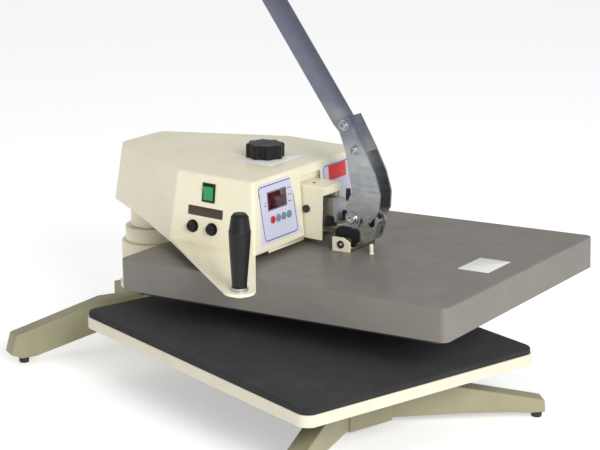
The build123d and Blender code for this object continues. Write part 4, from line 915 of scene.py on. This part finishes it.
# the lever's through screws with washers and spacers
leverScrews = {
    "centres": ((0, 0.37, 302.04), (0, 22.63, 343.07)),
    "shaft": rod(4.9, 16.9),
    "shaftSteps": 24,
    "rings": (
        ([(5.0, 4.6), (8.4, 4.6), (8.9, 5.1), (8.9, 16.3), (8.4, 16.9), (5.0, 16.9)], 28),
        ([(0, 21.0), (10.2, 21.0), (10.2, 22.3), (9.6, 22.7), (0, 22.7)], 36),
    ),
    "head": {"radius": 7.4, "height": 5.2, "socket": 3.3, "out": 22.7},
}
leverScrewShape = bmesh.new()
for centre in leverScrews["centres"]:
    shaft = turned(leverScrews["shaft"], leverScrews["shaftSteps"])
    mergeInto(leverScrewShape, shaft, headMatrix(*centre, rightOut))
    bothSides(leverScrewShape, centre, leverScrews["rings"], leverScrews["head"])
leverScrewPiece = addPiece(
    leverScrewShape, "leverScrewSet", "lever", screwSteel, asMade, smoothAngle=30.0
)
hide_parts("lever_screws")

# the main pivot with its ringed cap
pivotLook = {
    "shaft": rod(6.95, 22),
    "shaftSteps": 32,
    "rings": (
        ([(6.95, 10.05), (7.6, 10.05), (8.0, 10.4), (8.0, 16.4), (7.6, 16.7), (6.95, 16.7)], 32),
        ([(0, 21.3), (10.6, 21.3), (11.0, 21.8), (11.0, 23.6), (10.4, 24.3), (0, 24.3)], 40),
    ),
    "head": {"radius": 8.2, "height": 4.8, "socket": 4.2, "out": 24.3},
}
pivotShape = turned(pivotLook["shaft"], pivotLook["shaftSteps"])
pivotShape.transform(headMatrix(*press["pivot"], rightOut))
bothSides(pivotShape, press["pivot"], pivotLook["rings"], pivotLook["head"])
pivotPiece = addPiece(
    pivotShape, "mainPivotSet", "beam", screwSteel, asMade, smoothAngle=30.0
)
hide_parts("main_pivot")

# the platen's axle with sunk screws in its ends
axleLook = {
    "shaft": rod(6.95, 43.3),
    "shaftSteps": 32,
    "rings": (
        ([(6.95, 16.1), (7.8, 16.1), (8.2, 16.5), (8.2, 38.2), (7.8, 38.6), (6.95, 38.6)], 32),
        ([(0, 43.9), (2.7, 43.9), (2.7, 45.4), (2.2, 46.0), (0, 46.1)], 24),
    ),
    "plug": (
        (
            [
                (0, 43.3), (7.2, 43.3), (7.2, 44.6), (6.6, 45.2), (4.6, 45.2), (4.3, 44.2),
                (0, 44.0),
            ],
            36,
        ),
    ),
}
axleShape = turned(axleLook["shaft"], axleLook["shaftSteps"])
axleShape.transform(headMatrix(*press["axle"], rightOut))
bothSides(axleShape, press["axle"], axleLook["rings"])
axlePiece = addPiece(
    axleShape, "platenAxleSet", "carriage", screwSteel, asMade, smoothAngle=30.0
)
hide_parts("platen_axle")
plugShape = bmesh.new()
bothSides(plugShape, press["axle"], axleLook["plug"])
addPiece(
    plugShape, "axlePlugs", "carriage", plastic["blackOxideAndShade"], asMade,
    smoothAngle=30.0,
)

# The black buffer on the push block with a guide cheek on each side. These and the next
# outlines are (y, z) in the head's side view.
bufferLook = {
    "outline": (
        (43, 126.4), (43, 146.5), (40, 147.6), (3, 147.6), (0, 144.5), (0, 141), (21, 141),
        (21, 126.4),
    ),
    "half": 10.7,
    "edge": 0.8,
    "cheek": (
        (-12, 136), (-2, 124.5), (16, 122.5), (36, 129), (36, 151), (31, 156), (-8, 156.5),
        (-12, 152),
    ),
    "cheekHalf": 1.3,
    "cheekEdge": 0.5,
    "cheekX": 17.5,
}
bufferShape = sidePlate(bufferLook["outline"], bufferLook["half"], bufferLook["edge"])
for side in (-1, 1):
    guideCheek = sidePlate(
        bufferLook["cheek"], bufferLook["cheekHalf"], bufferLook["cheekEdge"],
        side * bufferLook["cheekX"],
    )
    mergeInto(bufferShape, guideCheek)
addPiece(
    bufferShape, "pushBuffer", "carriage", plastic["blackPlastic"], headPlace
)

# the tongue's lower half
keelLook = {
    "outline": ((14, 148.6), (88, 148.6), (88, 161.2), (11, 161.2), (11, 152)),
    "half": 9.95,
    "edge": 0.5,
}
keelShape = sidePlate(keelLook["outline"], keelLook["half"], keelLook["edge"])
addPiece(keelShape, "tongueKeel", "beam", paleZinc, headPlace)

# the closing switch: a small block with its plunger
switchLook = {
    "outline": ((40, 158), (50, 158), (50, 176), (38, 176), (36, 172), (36, 164)),
    "half": 5.0,
    "edge": 0.8,
    "plunger": ((30, 160), (40, 160), (40, 166), (30, 166)),
    "plungerHalf": 4.0,
    "plungerEdge": 0.6,
    "x": -29.0,
}
switchShape = sidePlate(
    switchLook["outline"], switchLook["half"], switchLook["edge"], switchLook["x"]
)
plungerShape = sidePlate(
    switchLook["plunger"], switchLook["plungerHalf"], switchLook["plungerEdge"], switchLook["x"]
)
mergeInto(switchShape, plungerShape)
switchPiece = addPiece(
    switchShape, "closingSwitchBlock", "beam", plastic["blackPlastic"],
    headPlace,
)
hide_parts("closing_switch")

# the saddle's front lip, and a small stud on the cover to the left of the saddle
lipLook = {"size": (80.0, 2.2, 6.8), "edge": 0.8, "place": (0, -19.2, -9.4)}
lipShape = block(*lipLook["size"], lipLook["edge"])
lipPlace = platenPlace @ Matrix.Translation(lipLook["place"])
addPiece(lipShape, "saddleLip", "platen", yellowZinc, lipPlace)
studLook = {
    "outline": [
        (0, 0), (4.4, 0), (4.4, 1.2), (3.4, 2.0), (3.4, 16.2), (2.8, 17.6), (1.6, 18.2),
        (0, 18.2),
    ],
    "steps": 28,
    "place": (-33, -58, -12.8),
}
studPlace = platenPlace @ Matrix.Translation(studLook["place"])
studShape = turned(studLook["outline"], studLook["steps"])
addPiece(studShape, "coverStud", "platen", creamPaint, studPlace)
print("stage: toggle dressing")

# the bracket's set screw, and the plates that close the head's opening round the bracket
guardLook = {
    "y": 112.6, "thickness": 1.6, "edge": 0.3,
    "plates": ((0, 236.5, 88, 20), (-38.0, 182, 12, 88), (38.0, 182, 12, 88)),
}
guardShape = bmesh.new()
for plateX, plateZ, plateWidth, plateHeight in guardLook["plates"]:
    mergeInto(
        guardShape,
        block(plateWidth, guardLook["thickness"], plateHeight, guardLook["edge"]),
        Matrix.Translation((plateX, guardLook["y"], plateZ)),
    )
addPiece(guardShape, "openingGuard", "beam", creamPaint, headPlace)
setScrewLook = {
    "radius": 2.6, "height": 0.9, "socket": 1.3, "steps": 18, "place": (-7.9, 92, 226.0),
}
setScrew = socketHead(
    setScrewLook["radius"], setScrewLook["height"], setScrewLook["socket"],
    setScrewLook["steps"],
)
addPiece(
    setScrew, "bracketSetScrew", "beam", plastic["blackOxideAndShade"],
    headMatrix(*setScrewLook["place"]),
)
print("stage: fasteners")

# floor, light and camera, in metres
floorLook = {"half": 14.0, "height": -0.1401, "colour": (0.84, 0.84, 0.84), "glow": 0.42}
floorMesh = bpy.data.meshes.new("floor")
floorShape = bmesh.new()
bmesh.ops.create_grid(floorShape, x_segments=1, y_segments=1, size=floorLook["half"])
floorShape.transform(Matrix.Translation((0, 0, floorLook["height"])))
floorShape.to_mesh(floorMesh)
floorShape.free()
floorFinish = Finish(
    "paleFloor", floorLook["colour"], 0.8,
    Emission_Color=(1, 1, 1, 1), Emission_Strength=floorLook["glow"],
)
floorMesh.materials.append(floorFinish.material)
floor = bpy.data.objects.new("floor", floorMesh)
bpy.context.scene.collection.objects.link(floor)

skyLook = {"light": 0.55, "seen": 1.0}  # strength as a light, and where the camera sees it
world = bpy.data.worlds.new("studio")
world.use_nodes = True
sky = world.node_tree
background = sky.nodes["Background"]
background.inputs["Color"].default_value = (1.0, 1.0, 1.0, 1.0)
skyPower = sky.nodes.new("ShaderNodeMapRange")
skyPower.inputs["To Min"].default_value = skyLook["light"]
skyPower.inputs["To Max"].default_value = skyLook["seen"]
seenDirectly = sky.nodes.new("ShaderNodeLightPath")
sky.links.new(seenDirectly.outputs["Is Camera Ray"], skyPower.inputs["Value"])
sky.links.new(skyPower.outputs[0], background.inputs["Strength"])
bpy.context.scene.world = world

lampAim = (0.05, 0.1, 0.05)
lamps = {
    "keyLight": {"place": (-0.9, -3.2, 1.8), "size": 1.4, "power": 95.0},
    "fillLight": {"place": (1.4, -2.8, 1.6), "size": 2.0, "power": 10.0},
    "topLight": {"place": (0.4, 0.8, 2.8), "size": 1.6, "power": 6.0},
}
for lampName, lamp in lamps.items():
    light = bpy.data.lights.new(lampName, "AREA")
    light.shape = "SQUARE"
    light.size = lamp["size"]
    light.energy = lamp["power"]
    lightObject = bpy.data.objects.new(lampName, light)
    lightObject.location = lamp["place"]
    towards = Vector(lampAim) - Vector(lamp["place"])
    lightObject.rotation_euler = towards.to_track_quat("-Z", "Y").to_euler()
    bpy.context.scene.collection.objects.link(lightObject)

cameraLook = {
    "azimuth": -38.791, "elevation": 15.871, "roll": 0.679,
    "place": (-1.92464, -2.35547, 1.01722), "lens": 108.998, "sensor": 36.0,
    "shift": (0.01458, 0.03205), "reach": 60.0,
}
azimuth = math.radians(cameraLook["azimuth"])
elevation = math.radians(cameraLook["elevation"])
roll = math.radians(cameraLook["roll"])
back = Vector((
    math.sin(azimuth) * math.cos(elevation),
    -math.cos(azimuth) * math.cos(elevation),
    math.sin(elevation),
))
level = Vector((math.cos(azimuth), math.sin(azimuth), 0))
upright = back.cross(level)
right = level * math.cos(roll) + upright * math.sin(roll)
above = upright * math.cos(roll) - level * math.sin(roll)
cameraData = bpy.data.cameras.new("photoView")
cameraData.sensor_width = cameraLook["sensor"]
cameraData.lens = cameraLook["lens"]
cameraData.shift_x, cameraData.shift_y = cameraLook["shift"]
cameraData.clip_end = cameraLook["reach"]
camera = bpy.data.objects.new("photoView", cameraData)
cameraTurn = Matrix((right, above, back)).transposed().to_4x4()
camera.matrix_world = Matrix.Translation(cameraLook["place"]) @ cameraTurn
bpy.context.scene.collection.objects.link(camera)
bpy.context.scene.camera = camera
bpy.context.scene.view_settings.view_transform = "Standard"
print("stage: light and camera")

bpy.context.view_layer.update()
